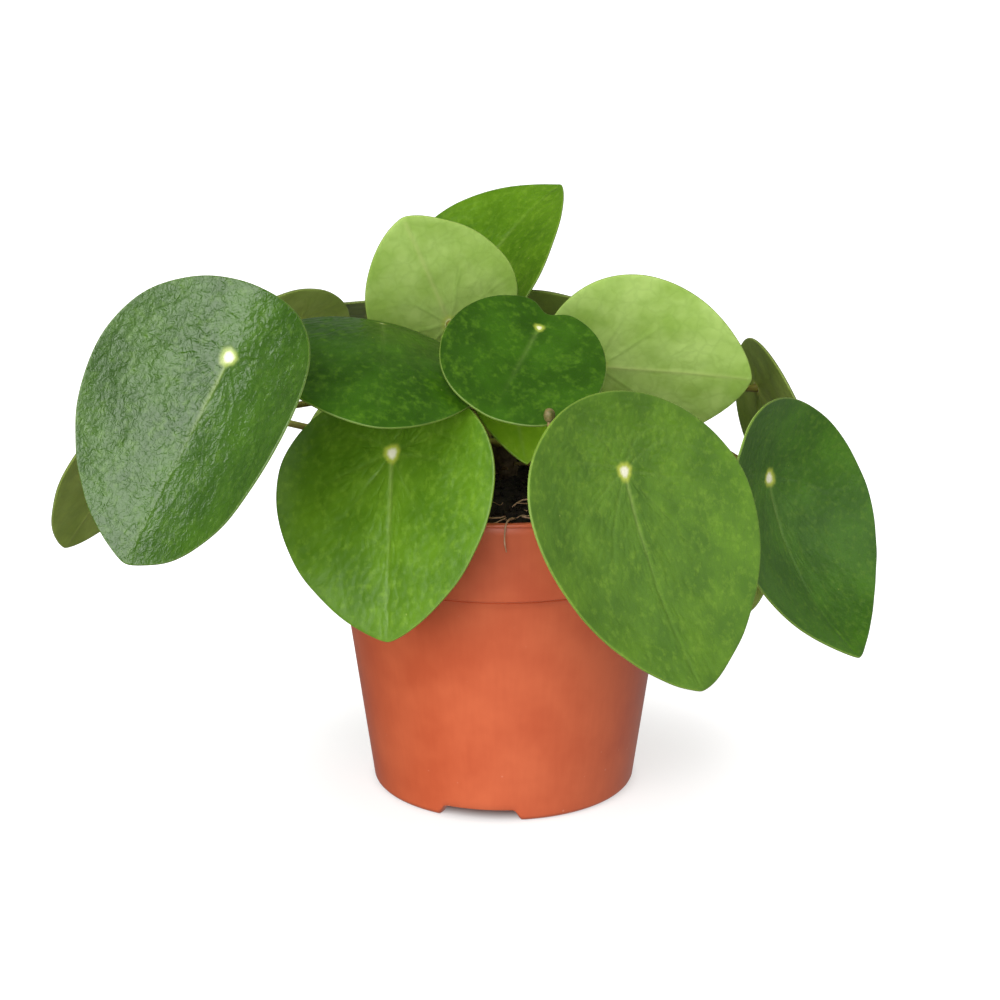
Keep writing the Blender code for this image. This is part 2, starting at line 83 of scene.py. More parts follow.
def unit(vectors: np.ndarray) -> np.ndarray:
    """The vectors along the last axis, each divided by its own length."""
    return vectors / np.linalg.norm(vectors, axis=-1, keepdims=True)


def smoothstep(low: float, high: float, value: np.ndarray) -> np.ndarray:
    """0 below low, 1 above high and 3t^2 - 2t^3 between them."""
    share = np.clip((value - low) / (high - low), 0.0, 1.0)
    return share * share * (3.0 - 2.0 * share)


def bent(reach: np.ndarray, height: np.ndarray, curvature: float) -> tuple:
    """Bend a flat strip down over a cylinder.

    A point at (x, z) goes to ((R + z) sin(x / R), (R + z) cos(x / R) - R), R = 1 / curvature.

    Args:
        reach: Distances x along the strip.
        height: Heights z above it.
        curvature: 1 / R in 1/mm, positive to bend down.

    Returns:
        The new reaches and heights.
    """
    if abs(curvature) < 1e-9:
        return reach, height
    radius = 1.0 / curvature
    turn = reach * curvature
    return (radius + height) * np.sin(turn), (radius + height) * np.cos(turn) - radius


def ripple(u: np.ndarray, v: np.ndarray, length: float, chance: np.random.Generator,
           waves: int = 7) -> np.ndarray:
    """A smooth uneven swell: the mean of plane waves in scattered directions.

    Args:
        u: First coordinate in mm.
        v: Second coordinate in mm.
        length: Mean wavelength in mm.
        chance: Seeded generator for directions, lengths and phases.
        waves: How many waves are summed.

    Returns:
        Values of about -1 to 1.
    """
    total = np.zeros_like(u)
    for _ in range(waves):
        heading, phase = chance.uniform(0.0, 2.0 * math.pi, 2)
        pace = 2.0 * math.pi / (length * chance.uniform(0.7, 1.4))
        total += np.sin(pace * (u * math.cos(heading) + v * math.sin(heading)) + phase)
    return total * math.sqrt(2.0 / waves) * 0.5


def cell_walls(u: np.ndarray, v: np.ndarray, size: float,
               chance: np.random.Generator) -> np.ndarray:
    """Distance to the walls between scattered cells: second nearest less nearest centre.

    Args:
        u: First coordinate in mm.
        v: Second coordinate in mm.
        size: Mean width of a cell in mm.
        chance: Seeded generator for the cells' centres.

    Returns:
        Distances in mm, 0 on a wall.
    """
    count = 64
    centres = chance.random((count, count, 2))
    column, row = np.floor(u / size).astype(int), np.floor(v / size).astype(int)
    nearest = np.full(u.shape, np.inf)
    second = np.full(u.shape, np.inf)
    for step_u in (-1, 0, 1):
        for step_v in (-1, 0, 1):
            centre = centres[(column + step_u) % count, (row + step_v) % count]
            away = np.hypot((column + step_u + centre[..., 0]) * size - u,
                            (row + step_v + centre[..., 1]) * size - v)
            second = np.minimum(second, np.maximum(nearest, away))
            nearest = np.minimum(nearest, away)
    return second - nearest


def bezier(handles: tuple, count: int) -> np.ndarray:
    """Points of a cubic: (1-t)^3 a + 3 (1-t)^2 t b + 3 (1-t) t^2 c + t^3 d.

    Args:
        handles: The two ends a, d and the handles b, c, in the order a, b, c, d.
        count: How many evenly stepped points.

    Returns:
        Array of (count, 3).
    """
    first, second, third, last = (np.asarray(handle, float) for handle in handles)
    t = np.linspace(0.0, 1.0, count)[:, None]
    return ((1 - t)**3 * first + 3 * (1 - t)**2 * t * second
            + 3 * (1 - t) * t**2 * third + t**3 * last)


def smooth_path(points: np.ndarray, count: int) -> np.ndarray:
    """A smooth curve through points: cubic Hermite pieces whose slopes join neighbours.

    Args:
        points: Array of (n, 3).
        count: How many evenly stepped points to return.

    Returns:
        Array of (count, 3).
    """
    points = np.asarray(points, float)
    slopes = np.gradient(points, axis=0)
    place = np.linspace(0.0, len(points) - 1.0, count)
    index = np.minimum(place.astype(int), len(points) - 2)
    t = (place - index)[:, None]
    return ((2 * t**3 - 3 * t**2 + 1) * points[index] + (t**3 - 2 * t**2 + t) * slopes[index]
            + (3 * t**2 - 2 * t**3) * points[index + 1] + (t**3 - t**2) * slopes[index + 1])


def tube(path: np.ndarray, radii: np.ndarray, sides: int,
         swell: np.ndarray | None = None) -> np.ndarray:
    """Rings of a round tube: centre + r (cos a * side + sin a * top) at each station.

    Args:
        path: Centre line, (n, 3).
        radii: Radius at each station, (n,).
        sides: Points in a ring.
        swell: Factor on the radius at each station and side, (n, sides).

    Returns:
        Array of (n, sides, 3) whose rings run so that the faces point out.
    """
    ahead = unit(np.gradient(path, axis=0))
    spine = unit(path[-1] - path[0])
    spare = np.eye(3)[np.argmin(np.abs(spine))]
    side = unit(np.cross(spare, ahead))
    top = np.cross(ahead, side)
    turn = np.linspace(0.0, 2.0 * math.pi, sides, endpoint=False)
    reach = radii[:, None] * (np.ones((1, sides)) if swell is None else swell)
    return (path[:, None, :] + (reach * np.cos(turn))[..., None] * side[:, None, :]
            + (reach * np.sin(turn))[..., None] * top[:, None, :])


def turned(profile: np.ndarray, sides: int) -> np.ndarray:
    """Rings of a profile (radius, height) turned about Z: (r cos a, r sin a, h)."""
    turn = np.linspace(0.0, 2.0 * math.pi, sides, endpoint=False)
    radius, height = profile[:, :1], profile[:, 1:2]
    return np.stack([radius * np.cos(turn), radius * np.sin(turn),
                     np.broadcast_to(height, (len(profile), sides))], axis=-1)


class Surface:
    """A mesh gathered from closed grids, in millimetres from the pot's axis."""

    def __init__(self) -> None:
        """Start with nothing in it."""
        self.points: list[np.ndarray] = []
        self.faces: list[np.ndarray] = []
        self.slots: list[np.ndarray] = []
        self.count = 0

    def add_rings(self, rings: np.ndarray, slots: np.ndarray | None = None) -> None:
        """Add a closed skin of rings whose two ends are closed to a point each.

        Quads join ring i to ring i + 1; a fan closes each end on its ring's centre.

        Args:
            rings: Array of (n, sides, 3).
            slots: Material slot of each band between two rings, (n + 1,) with both fans.
        """
        count, sides, _ = rings.shape
        points = np.concatenate([rings.reshape(-1, 3), rings[:1].mean(axis=1),
                                 rings[-1:].mean(axis=1)])
        index = np.arange(count * sides).reshape(count, sides) + self.count
        after = np.roll(index, -1, axis=1)
        quads = np.stack([index[:-1], index[1:], after[1:], after[:-1]], axis=-1).reshape(-1, 4)
        start, end = self.count + count * sides, self.count + count * sides + 1
        first = np.stack([np.full(sides, start), index[0], after[0], index[0] * 0 - 1], axis=-1)
        last = np.stack([np.full(sides, end), after[-1], index[-1], index[-1] * 0 - 1], axis=-1)
        self.points.append(points)
        self.faces.append(np.concatenate([first, quads, last]))
        bands = np.zeros(count + 1, int) if slots is None else slots
        self.slots.append(np.repeat(bands, sides))
        self.count += len(points)

    def to_object(self, name: str, axis: np.ndarray, materials: list,
                  sharp_angle: float | None = None) -> bpy.types.Object:
        """Make the object, with its place in its mesh.

        Args:
            name: Name of the piece.
            axis: Place of the pot's axis in millimetres.
            materials: One material for each slot.
            sharp_angle: Degrees past which an edge is kept sharp, or None for all smooth.

        Returns:
            The linked object.
        """
        points = (np.concatenate(self.points) + axis) * MM
        faces = [[corner for corner in face if corner >= 0]
                 for face in np.concatenate(self.faces).tolist()]
        mesh = bpy.data.meshes.new(name)
        mesh.from_pydata(points.tolist(), [], faces)
        for material in materials:
            mesh.materials.append(material)
        mesh.polygons.foreach_set("material_index", np.concatenate(self.slots))
        mesh.shade_smooth()
        if sharp_angle is not None:
            mesh.set_sharp_from_angle(angle=math.radians(sharp_angle))
        piece = bpy.data.objects.new(name, mesh)
        bpy.context.scene.collection.objects.link(piece)
        return piece


def set_attribute(piece: bpy.types.Object, name: str, values: np.ndarray) -> None:
    """Store a number or a vector on every point of a piece.

    Args:
        piece: The object.
        name: Name that the material reads.
        values: Array of (n,) or (n, 3).
    """
    vector = values.ndim == 2
    layer = piece.data.attributes.new(name, "FLOAT_VECTOR" if vector else "FLOAT", "POINT")
    layer.data.foreach_set("vector" if vector else "value", values.astype(np.float32).ravel())


def settle(piece: bpy.types.Object, slot: str, *nodes: str) -> None:
    """Hang a finished piece on the plant and hide the CAD nodes that it replaces.

    Args:
        piece: The object.
        slot: Not used.
        nodes: CAD nodes that it replaces.
    """
    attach(piece, BODY)
    if nodes:
        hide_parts(*nodes)
    LOG.info("%s: %d faces", piece.name, len(piece.data.polygons))


# ------------------------------------------------------------------ finishes

# Sockets of the Mix node when it blends colours, and of its colour output.
MIX_SHARE, MIX_FROM, MIX_TO, MIX_OUT = 0, 6, 7, 2

# What a node's input can be fed with: another node's output, a number or a hex colour.
Socket = bpy.types.NodeSocket
Input = Socket | float
Tint = Socket | str


def linear(colour: str) -> tuple:
    """Linear red, green, blue and alpha of an sRGB hex colour."""
    parts = [int(colour[at:at + 2], 16) / 255.0 for at in (1, 3, 5)]
    return (*(part / 12.92 if part <= 0.04045 else ((part + 0.055) / 1.055)**2.4
              for part in parts), 1.0)


class Recipe:
    """One material while its nodes are being put together."""

    def __init__(self, name: str) -> None:
        """Start a material with its Principled shader.

        Args:
            name: Name of the material.
        """
        self.material = bpy.data.materials.new(name)
        self.material.use_nodes = True
        self.tree = self.material.node_tree
        self.shader = self.tree.nodes["Principled BSDF"]

    def add(self, kind: str, settings: dict | None = None,
            links: dict | None = None) -> bpy.types.Node:
        """Add one node.

        Args:
            kind: The node's type without its "ShaderNode" start.
            settings: Socket values and node properties, by name or socket number.
            links: Output sockets, by the name or number of the input that each one feeds.

        Returns:
            The new node.
        """
        node = self.tree.nodes.new("ShaderNode" + kind)
        for name, value in (settings or {}).items():
            if isinstance(name, int) or name in node.inputs:
                node.inputs[name].default_value = value
            else:
                setattr(node, name, value)
        for name, source in (links or {}).items():
            self.tree.links.new(source, node.inputs[name])
        return node

    def noise(self, place: Socket, scale: float, detail: float = 2.0,
              roughness: float = 0.5, distortion: float = 0.0) -> Socket:
        """The 0 to 1 socket of a cloudy noise with the given waves to each unit of place."""
        node = self.add("TexNoise", {"Scale": scale, "Detail": detail, "Roughness": roughness,
                                     "Distortion": distortion}, {"Vector": place})
        return node.outputs["Fac"]

    def cells(self, place: Socket, size: float, edges: bool) -> Socket:
        """The distance socket of cells: to their edges, or to their centres."""
        node = self.add("TexVoronoi", {"feature": "DISTANCE_TO_EDGE" if edges else "F1",
                                       "Scale": 1.0 / size}, {"Vector": place})
        return node.outputs["Distance"]

    def span(self, value: Socket, start: tuple, end: tuple = (0.0, 1.0),
             curve: str = "LINEAR") -> Socket:
        """Stretch a value from the range start to the range end, held at both ends.

        Args:
            value: Socket of the value.
            start: The two values that it comes from.
            end: The two values that they become.
            curve: The MapRange node's way between them.

        Returns:
            The new socket.
        """
        node = self.add("MapRange", {"interpolation_type": curve, "From Min": start[0],
                                     "From Max": start[1], "To Min": end[0], "To Max": end[1]},
                        {"Value": value})
        return node.outputs["Result"]

    def calculate(self, operation: str, first: Input, second: Input,
                  third: Input | None = None) -> Socket:
        """The result socket of a Math node whose inputs are sockets or numbers."""
        values = {at: value for at, value in enumerate((first, second, third))
                  if value is not None}
        numbers = {at: value for at, value in values.items() if isinstance(value, float)}
        links = {at: value for at, value in values.items() if at not in numbers}
        return self.add("Math", {"operation": operation, **numbers}, links).outputs["Value"]

    def mix(self, share: Socket, below: Tint, above: Tint) -> Socket:
        """Lay one colour over another; either is a hex colour or a socket."""
        sides = {MIX_FROM: below, MIX_TO: above}
        fixed = {at: linear(side) for at, side in sides.items() if isinstance(side, str)}
        links = {at: side for at, side in sides.items() if at not in fixed}
        return self.add("Mix", {"data_type": "RGBA", **fixed},
                        {MIX_SHARE: share, **links}).outputs[MIX_OUT]

    def bump(self, height: Socket, strength: float, depth: float) -> Socket:
        """The normal socket of a bump whose full height is depth millimetres."""
        return self.add("Bump", {"Strength": strength, "Distance": depth * MM},
                        {"Height": height}).outputs["Normal"]

    def finish(self, settings: dict, links: dict) -> bpy.types.Material:
        """Set and link the shader's own sockets.

        Args:
            settings: Constant values by socket name.
            links: Output sockets by socket name.

        Returns:
            The material.
        """
        for name, value in settings.items():
            self.shader.inputs[name].default_value = value
        for name, source in links.items():
            self.tree.links.new(source, self.shader.inputs[name])
        return self.material


@dataclass(frozen=True)
class LeafSkin:
    """Waxy cuticle over a thick green blade: a leathery skin with a soft grey shine.

    The blotches and flecks give the eye living tissue, the wrinkles break the shine.
    Colours are sRGB; lengths are millimetres.
    """

    name: str
    deep: str = "#4C7608"
    bright: str = "#608B13"
    fleck: str = "#7FA62C"
    vein: str = "#A9C069"
    edge: str = "#98AE4E"
    halo: str = "#CBD650"
    heart: str = "#FFFBE0"
    under_deep: str = "#96B950"
    under_bright: str = "#B1CF70"
    under_vein: str = "#759C3C"
    under_midrib: str = "#BFCB7C"
    midrib_share: float = 0.34
    vein_share: float = 0.07
    heart_share: float = 1.0
    roughness: float = 0.4
    shine: float = 0.5
    under_roughness: float = 0.62
    wrinkle: float = 0.3
    wrinkle_height: float = 0.25
    blotch_size: float = 15.0
    fleck_size: float = 2.6
    wrinkle_size: float = 1.7
    tissue_size: float = 3.6
    speck_spacing: float = 12.0
    speck_radius: float = 0.28
    edge_line: float = 0.22
    edge_share: float = 0.35
    heart_radius: float = 1.7
    halo_radius: float = 4.2

    def coordinates(self, recipe: Recipe) -> dict:
        """Read what a blade's points carry: place on the leaf, vein, distances."""
        names = ("leaf_mm", "vein", "midrib", "from_insertion", "from_margin")
        nodes = {name: recipe.add("Attribute", {"attribute_name": name}) for name in names}
        return {name: node.outputs["Vector" if name == "leaf_mm" else "Fac"]
                for name, node in nodes.items()}

    def edge_and_heart(self, recipe: Recipe, read: dict, colour: Socket,
                       strength: float) -> Socket:
        """Lay the yellow halo, the cream heart and the pale edge line over a colour.

        Args:
            recipe: The material being made.
            read: The blade's attribute sockets.
            colour: Socket of the colour below.
            strength: Share of the halo.

        Returns:
            The socket of the finished colour.
        """
        halo = recipe.span(read["from_insertion"], (self.heart_radius, self.halo_radius),
                           (0.85 * strength, 0.0), "SMOOTHERSTEP")
        heart = recipe.span(read["from_insertion"],
                            (0.5 * self.heart_radius, 1.4 * self.heart_radius),
                            (strength, 0.0), "SMOOTHSTEP")
        edge = recipe.span(read["from_margin"], (0.5 * self.edge_line, 1.5 * self.edge_line),
                           (self.edge_share, 0.0), "SMOOTHSTEP")
        for share, above in ((halo, self.halo), (heart, self.heart), (edge, self.edge)):
            colour = recipe.mix(share, colour, above)
        return colour

    def upper(self) -> bpy.types.Material:
        """The upper face: blotched green, pale veins, tiny pale specks, wrinkled shine."""
        recipe = Recipe(f"{self.name}_upper_cuticle")
        read = self.coordinates(recipe)
        place = read["leaf_mm"]
        blotch = recipe.noise(place, 1.0 / self.blotch_size, 2.0, 0.55)
        colour = recipe.mix(recipe.span(blotch, (0.36, 0.66)), self.deep, self.bright)
        fleck = recipe.noise(place, 1.0 / self.fleck_size, 3.0, 0.6)
        colour = recipe.mix(recipe.span(fleck, (0.5, 0.76), (0.0, 0.55)), colour, self.fleck)
        tissue = recipe.cells(place, self.tissue_size, True)
        colour = recipe.mix(recipe.span(tissue, (0.0, 0.12), (0.22, 0.0)), colour, self.deep)
        fade = recipe.span(read["from_insertion"], (4.0, 40.0), (1.0, 0.15), "SMOOTHSTEP")
        vein = recipe.calculate("MULTIPLY", read["vein"], self.vein_share)
        midrib = recipe.calculate("MULTIPLY", read["midrib"], self.midrib_share)
        strongest = recipe.calculate("MAXIMUM", vein, midrib)
        colour = recipe.mix(recipe.calculate("MULTIPLY", strongest, fade), colour, self.vein)
        speck = self.speck_radius / self.speck_spacing
        specks = recipe.span(recipe.cells(place, self.speck_spacing, False),
                             (0.5 * speck, 1.4 * speck), (0.8, 0.0))
        colour = recipe.mix(specks, colour, self.edge)
        colour = self.edge_and_heart(recipe, read, colour, self.heart_share)
        wrinkles = recipe.noise(place, 1.0 / self.wrinkle_size, 2.0, 0.5, 1.2)
        gloss = recipe.span(fleck, (0.0, 1.0), (self.roughness - 0.06, self.roughness + 0.08))
        return recipe.finish({"IOR": 1.45, "Metallic": 0.0, "Specular IOR Level": self.shine},
                             {"Base Color": colour, "Roughness": gloss,
                              "Normal": recipe.bump(wrinkles, self.wrinkle,
                                                    self.wrinkle_height)})

    def under(self) -> bpy.types.Material:
        """The underside: pale and matt, with a darker net of veins."""
        recipe = Recipe(f"{self.name}_underside")
        read = self.coordinates(recipe)
        place = read["leaf_mm"]
        cloud = recipe.noise(place, 1.0 / self.blotch_size, 3.0, 0.6)
        colour = recipe.mix(recipe.span(cloud, (0.36, 0.64)), self.under_deep,
                            self.under_bright)
        warp = recipe.add("TexNoise", {"Scale": 0.2, "Detail": 3.0}, {"Vector": place})
        shift = recipe.add("VectorMath", {"operation": "MULTIPLY_ADD", 1: (7.0, 7.0, 0.0)},
                           {0: warp.outputs["Color"], 2: place})
        net = recipe.cells(shift.outputs["Vector"], self.tissue_size / 0.66, True)
        colour = recipe.mix(recipe.span(net, (0.0, 0.16), (0.18, 0.0)), colour,
                            self.under_vein)
        colour = recipe.mix(recipe.calculate("MULTIPLY", read["vein"], 0.2), colour,
                            self.under_vein)
        colour = recipe.mix(recipe.calculate("MULTIPLY", read["midrib"], 0.4), colour,
                            self.under_midrib)
        colour = self.edge_and_heart(recipe, read, colour, 0.5)
        grain = recipe.noise(place, 1.0 / self.wrinkle_size)
        return recipe.finish({"IOR": 1.42, "Metallic": 0.0, "Roughness": self.under_roughness},
                             {"Base Color": colour, "Normal": recipe.bump(grain, 0.3, 0.15)})


class LeafFinish(Enum):
    """Which of the plant's leaf finishes a leaf wears; the back leaves' finishes carry painted
    shade and painted backlight.
    """

    MATURE = LeafSkin("mature_leaf")
    DARK = LeafSkin("shaded_leaf", deep="#2B5104", bright="#396507", fleck="#5F8C14",
                    midrib_share=0.12, vein_share=0.0, heart_share=0.7,
                    heart_radius=0.8, halo_radius=2.6)
    COOL = LeafSkin("outer_leaf", deep="#315609", bright="#40680E", fleck="#5E8426",
                    roughness=0.36, shine=0.95, wrinkle=1.0, wrinkle_height=0.5,
                    wrinkle_size=1.8, vein_share=0.0, edge="#6E8A34", halo="#B4C666")
    SHADY = LeafSkin("side_leaf", deep="#3A660A", bright="#4A7A12", fleck="#688E28",
                     wrinkle=0.5, vein_share=0.02, midrib_share=0.2)
    # Back leaves: olive upper and underside colours darker than the mature leaf's, painted shade
    # for leaves that sit in shadow at the back.
    PAINTED_SHADE = LeafSkin("painted_shade_leaf", deep="#46590C", bright="#5A6E18", fleck="#7E9034",
                     edge="#94A25A", midrib_share=0.2, vein_share=0.05,
                     under_deep="#789030", under_bright="#8CA444", under_vein="#61792A",
                     under_midrib="#96A356")
    # The same painted-shade upper colours, with brighter undersides: painted light standing in
    # for light that shines through these back leaves.
    PAINTED_BACKLIGHT = LeafSkin("painted_backlight_leaf", deep="#46590C", bright="#5A6E18", fleck="#7E9034",
                     edge="#94A25A", midrib_share=0.2, vein_share=0.05,
                     under_deep="#9CB64C", under_bright="#B0C862", under_vein="#82983C",
                     under_midrib="#BCC878")
    YOUNG = LeafSkin("young_leaf", deep="#78AA10", bright="#90C222", fleck="#AAD03C",
                     under_deep="#8FA64C", under_bright="#A6BA66", roughness=0.34)


@dataclass(frozen=True)
class StalkSkin:
    """Smooth green bark of a leaf stalk, streaked brown along its length."""

    name: str = "petiole_skin"
    green: str = "#8C8C38"
    brown: str = "#64501E"
    streak_length: float = 14.0
    streak_width: float = 0.9
    roughness: float = 0.42

    def make(self) -> bpy.types.Material:
        """Lengthwise brown streaks over green, with a faint grain."""
        recipe = Recipe(self.name)
        place = recipe.add("Attribute", {"attribute_name": "stalk_mm"})
        scaled = recipe.add("VectorMath", {"operation": "MULTIPLY",
                                           1: (1.0 / self.streak_length, 1.0 / self.streak_width,
                                               1.0 / self.streak_width)},
                            {0: place.outputs["Vector"]})
        streak = recipe.noise(scaled.outputs["Vector"], 1.0, 3.0, 0.6)
        colour = recipe.mix(recipe.span(streak, (0.35, 0.68)), self.green, self.brown)
        return recipe.finish({"IOR": 1.45, "Roughness": self.roughness, "Metallic": 0.0},
                             {"Base Color": colour, "Normal": recipe.bump(streak, 0.4, 0.1)})


@dataclass(frozen=True)
class GrainySkin:
    """A matt plant skin or earth: two colours clouded together over a rough grain."""

    name: str
    dark: str
    light: str
    cloud_size: float
    grain_size: float
    grain_height: float
    roughness: float

    def make(self) -> bpy.types.Material:
        """Clouds of the light colour over the dark one, and a bump of the grain's size."""
        recipe = Recipe(self.name)
        place = recipe.add("TexCoord").outputs["Object"]
        cloud = recipe.noise(place, 1.0 / (self.cloud_size * MM), 4.0, 0.65)
        colour = recipe.mix(recipe.span(cloud, (0.36, 0.66)), self.dark, self.light)
        grain = recipe.noise(place, 1.0 / (self.grain_size * MM), 3.0)
        return recipe.finish({"IOR": 1.45, "Roughness": self.roughness, "Metallic": 0.0},
                             {"Base Color": colour,
                              "Normal": recipe.bump(grain, 0.7, self.grain_height)})


@dataclass(frozen=True)
class PotPlastic:
    """Injection-moulded polypropylene in terracotta: satin, faintly streaked and scuffed."""

    name: str = "terracotta_polypropylene"
    colour: str = "#D96A42"
    shade: str = "#CC5D38"
    scuff: str = "#E3A68C"
    cloud_size: float = 26.0
    flow_width: float = 1.6
    flow_stretch: float = 40.0
    scuff_size: float = 7.0
    peel_size: float = 1.1
    peel_height: float = 0.03
    roughness: float = 0.33

    def make(self) -> bpy.types.Material:
        """Clouds and upright flow streaks, sparse pale scuffs low down, faint orange peel."""
        recipe = Recipe(self.name)
        place = recipe.add("TexCoord").outputs["Object"]
        cloud = recipe.noise(place, 1.0 / (self.cloud_size * MM), 3.0, 0.6)
        across = 1.0 / (self.flow_width * MM)
        upright = recipe.add("VectorMath", {"operation": "MULTIPLY",
                                            1: (across, across, across / self.flow_stretch)},
                             {0: place})
        flow = recipe.noise(upright.outputs["Vector"], 1.0)
        both = recipe.calculate("MULTIPLY_ADD", flow, 0.14, cloud)
        colour = recipe.mix(recipe.span(both, (0.42, 0.72)), self.shade, self.colour)
        scratch = recipe.span(recipe.cells(place, self.scuff_size * MM, False), (0.03, 0.07),
                              (0.55, 0.0))
        level = recipe.add("SeparateXYZ", {}, {"Vector": place})
        low_down = recipe.span(level.outputs["Z"], (0.004, 0.03), (1.0, 0.12))
        colour = recipe.mix(recipe.calculate("MULTIPLY", scratch, low_down), colour, self.scuff)
        gloss = recipe.span(cloud, (0.0, 1.0), (self.roughness - 0.05, self.roughness + 0.1))
        peel = recipe.noise(place, 1.0 / (self.peel_size * MM))
        return recipe.finish({"IOR": 1.49, "Metallic": 0.0},
                             {"Base Color": colour, "Roughness": gloss,
                              "Normal": recipe.bump(peel, 0.35, self.peel_height)})


# ------------------------------------------------------------------ leaves

@dataclass(frozen=True)
class LeafForm:
    """One leaf's measures: millimetres from the pot's axis, degrees, curvatures in 1/m.

    ``facing`` is the bearing of the upper face and ``lift`` its height above the horizon;
    ``swing`` turns the tip from straight downhill. ``inset`` is the share of the length
    behind the insertion, ``taper`` how pointed the tip is, ``droop`` and ``roll`` the bends
    along and across, ``fold`` and ``cup`` the rise of the sides, ``lean`` the extra width
    of one side and ``skew`` its shift to the tip. The petiole leaves the stem at ``node``
    height towards ``bearing``, rising at ``rise``; ``reach`` and ``approach`` are its
    handles and ``crest`` lifts the second one. ``quilt`` is the height of the puckers
    between the veins and ``wave`` the swing of the margin.
    """

    name: str
    insertion: tuple
    facing: float
    lift: float
    swing: float
    length: float
    width: float
    node: float
    bearing: float
    rise: float
    reach: float
    approach: float
    crest: float = 0.0
    inset: float = 0.27
    taper: float = 0.2
    droop: float = 3.0
    roll: float = 1.0
    fold: float = 0.0
    cup: float = 0.0
    lean: float = 0.0
    skew: float = 0.0
    notch: float = 0.0
    petiole_scale: float = 1.0
    age: LeafFinish = LeafFinish.MATURE
    quilt: float = 0.15
    wave: float = 0.35


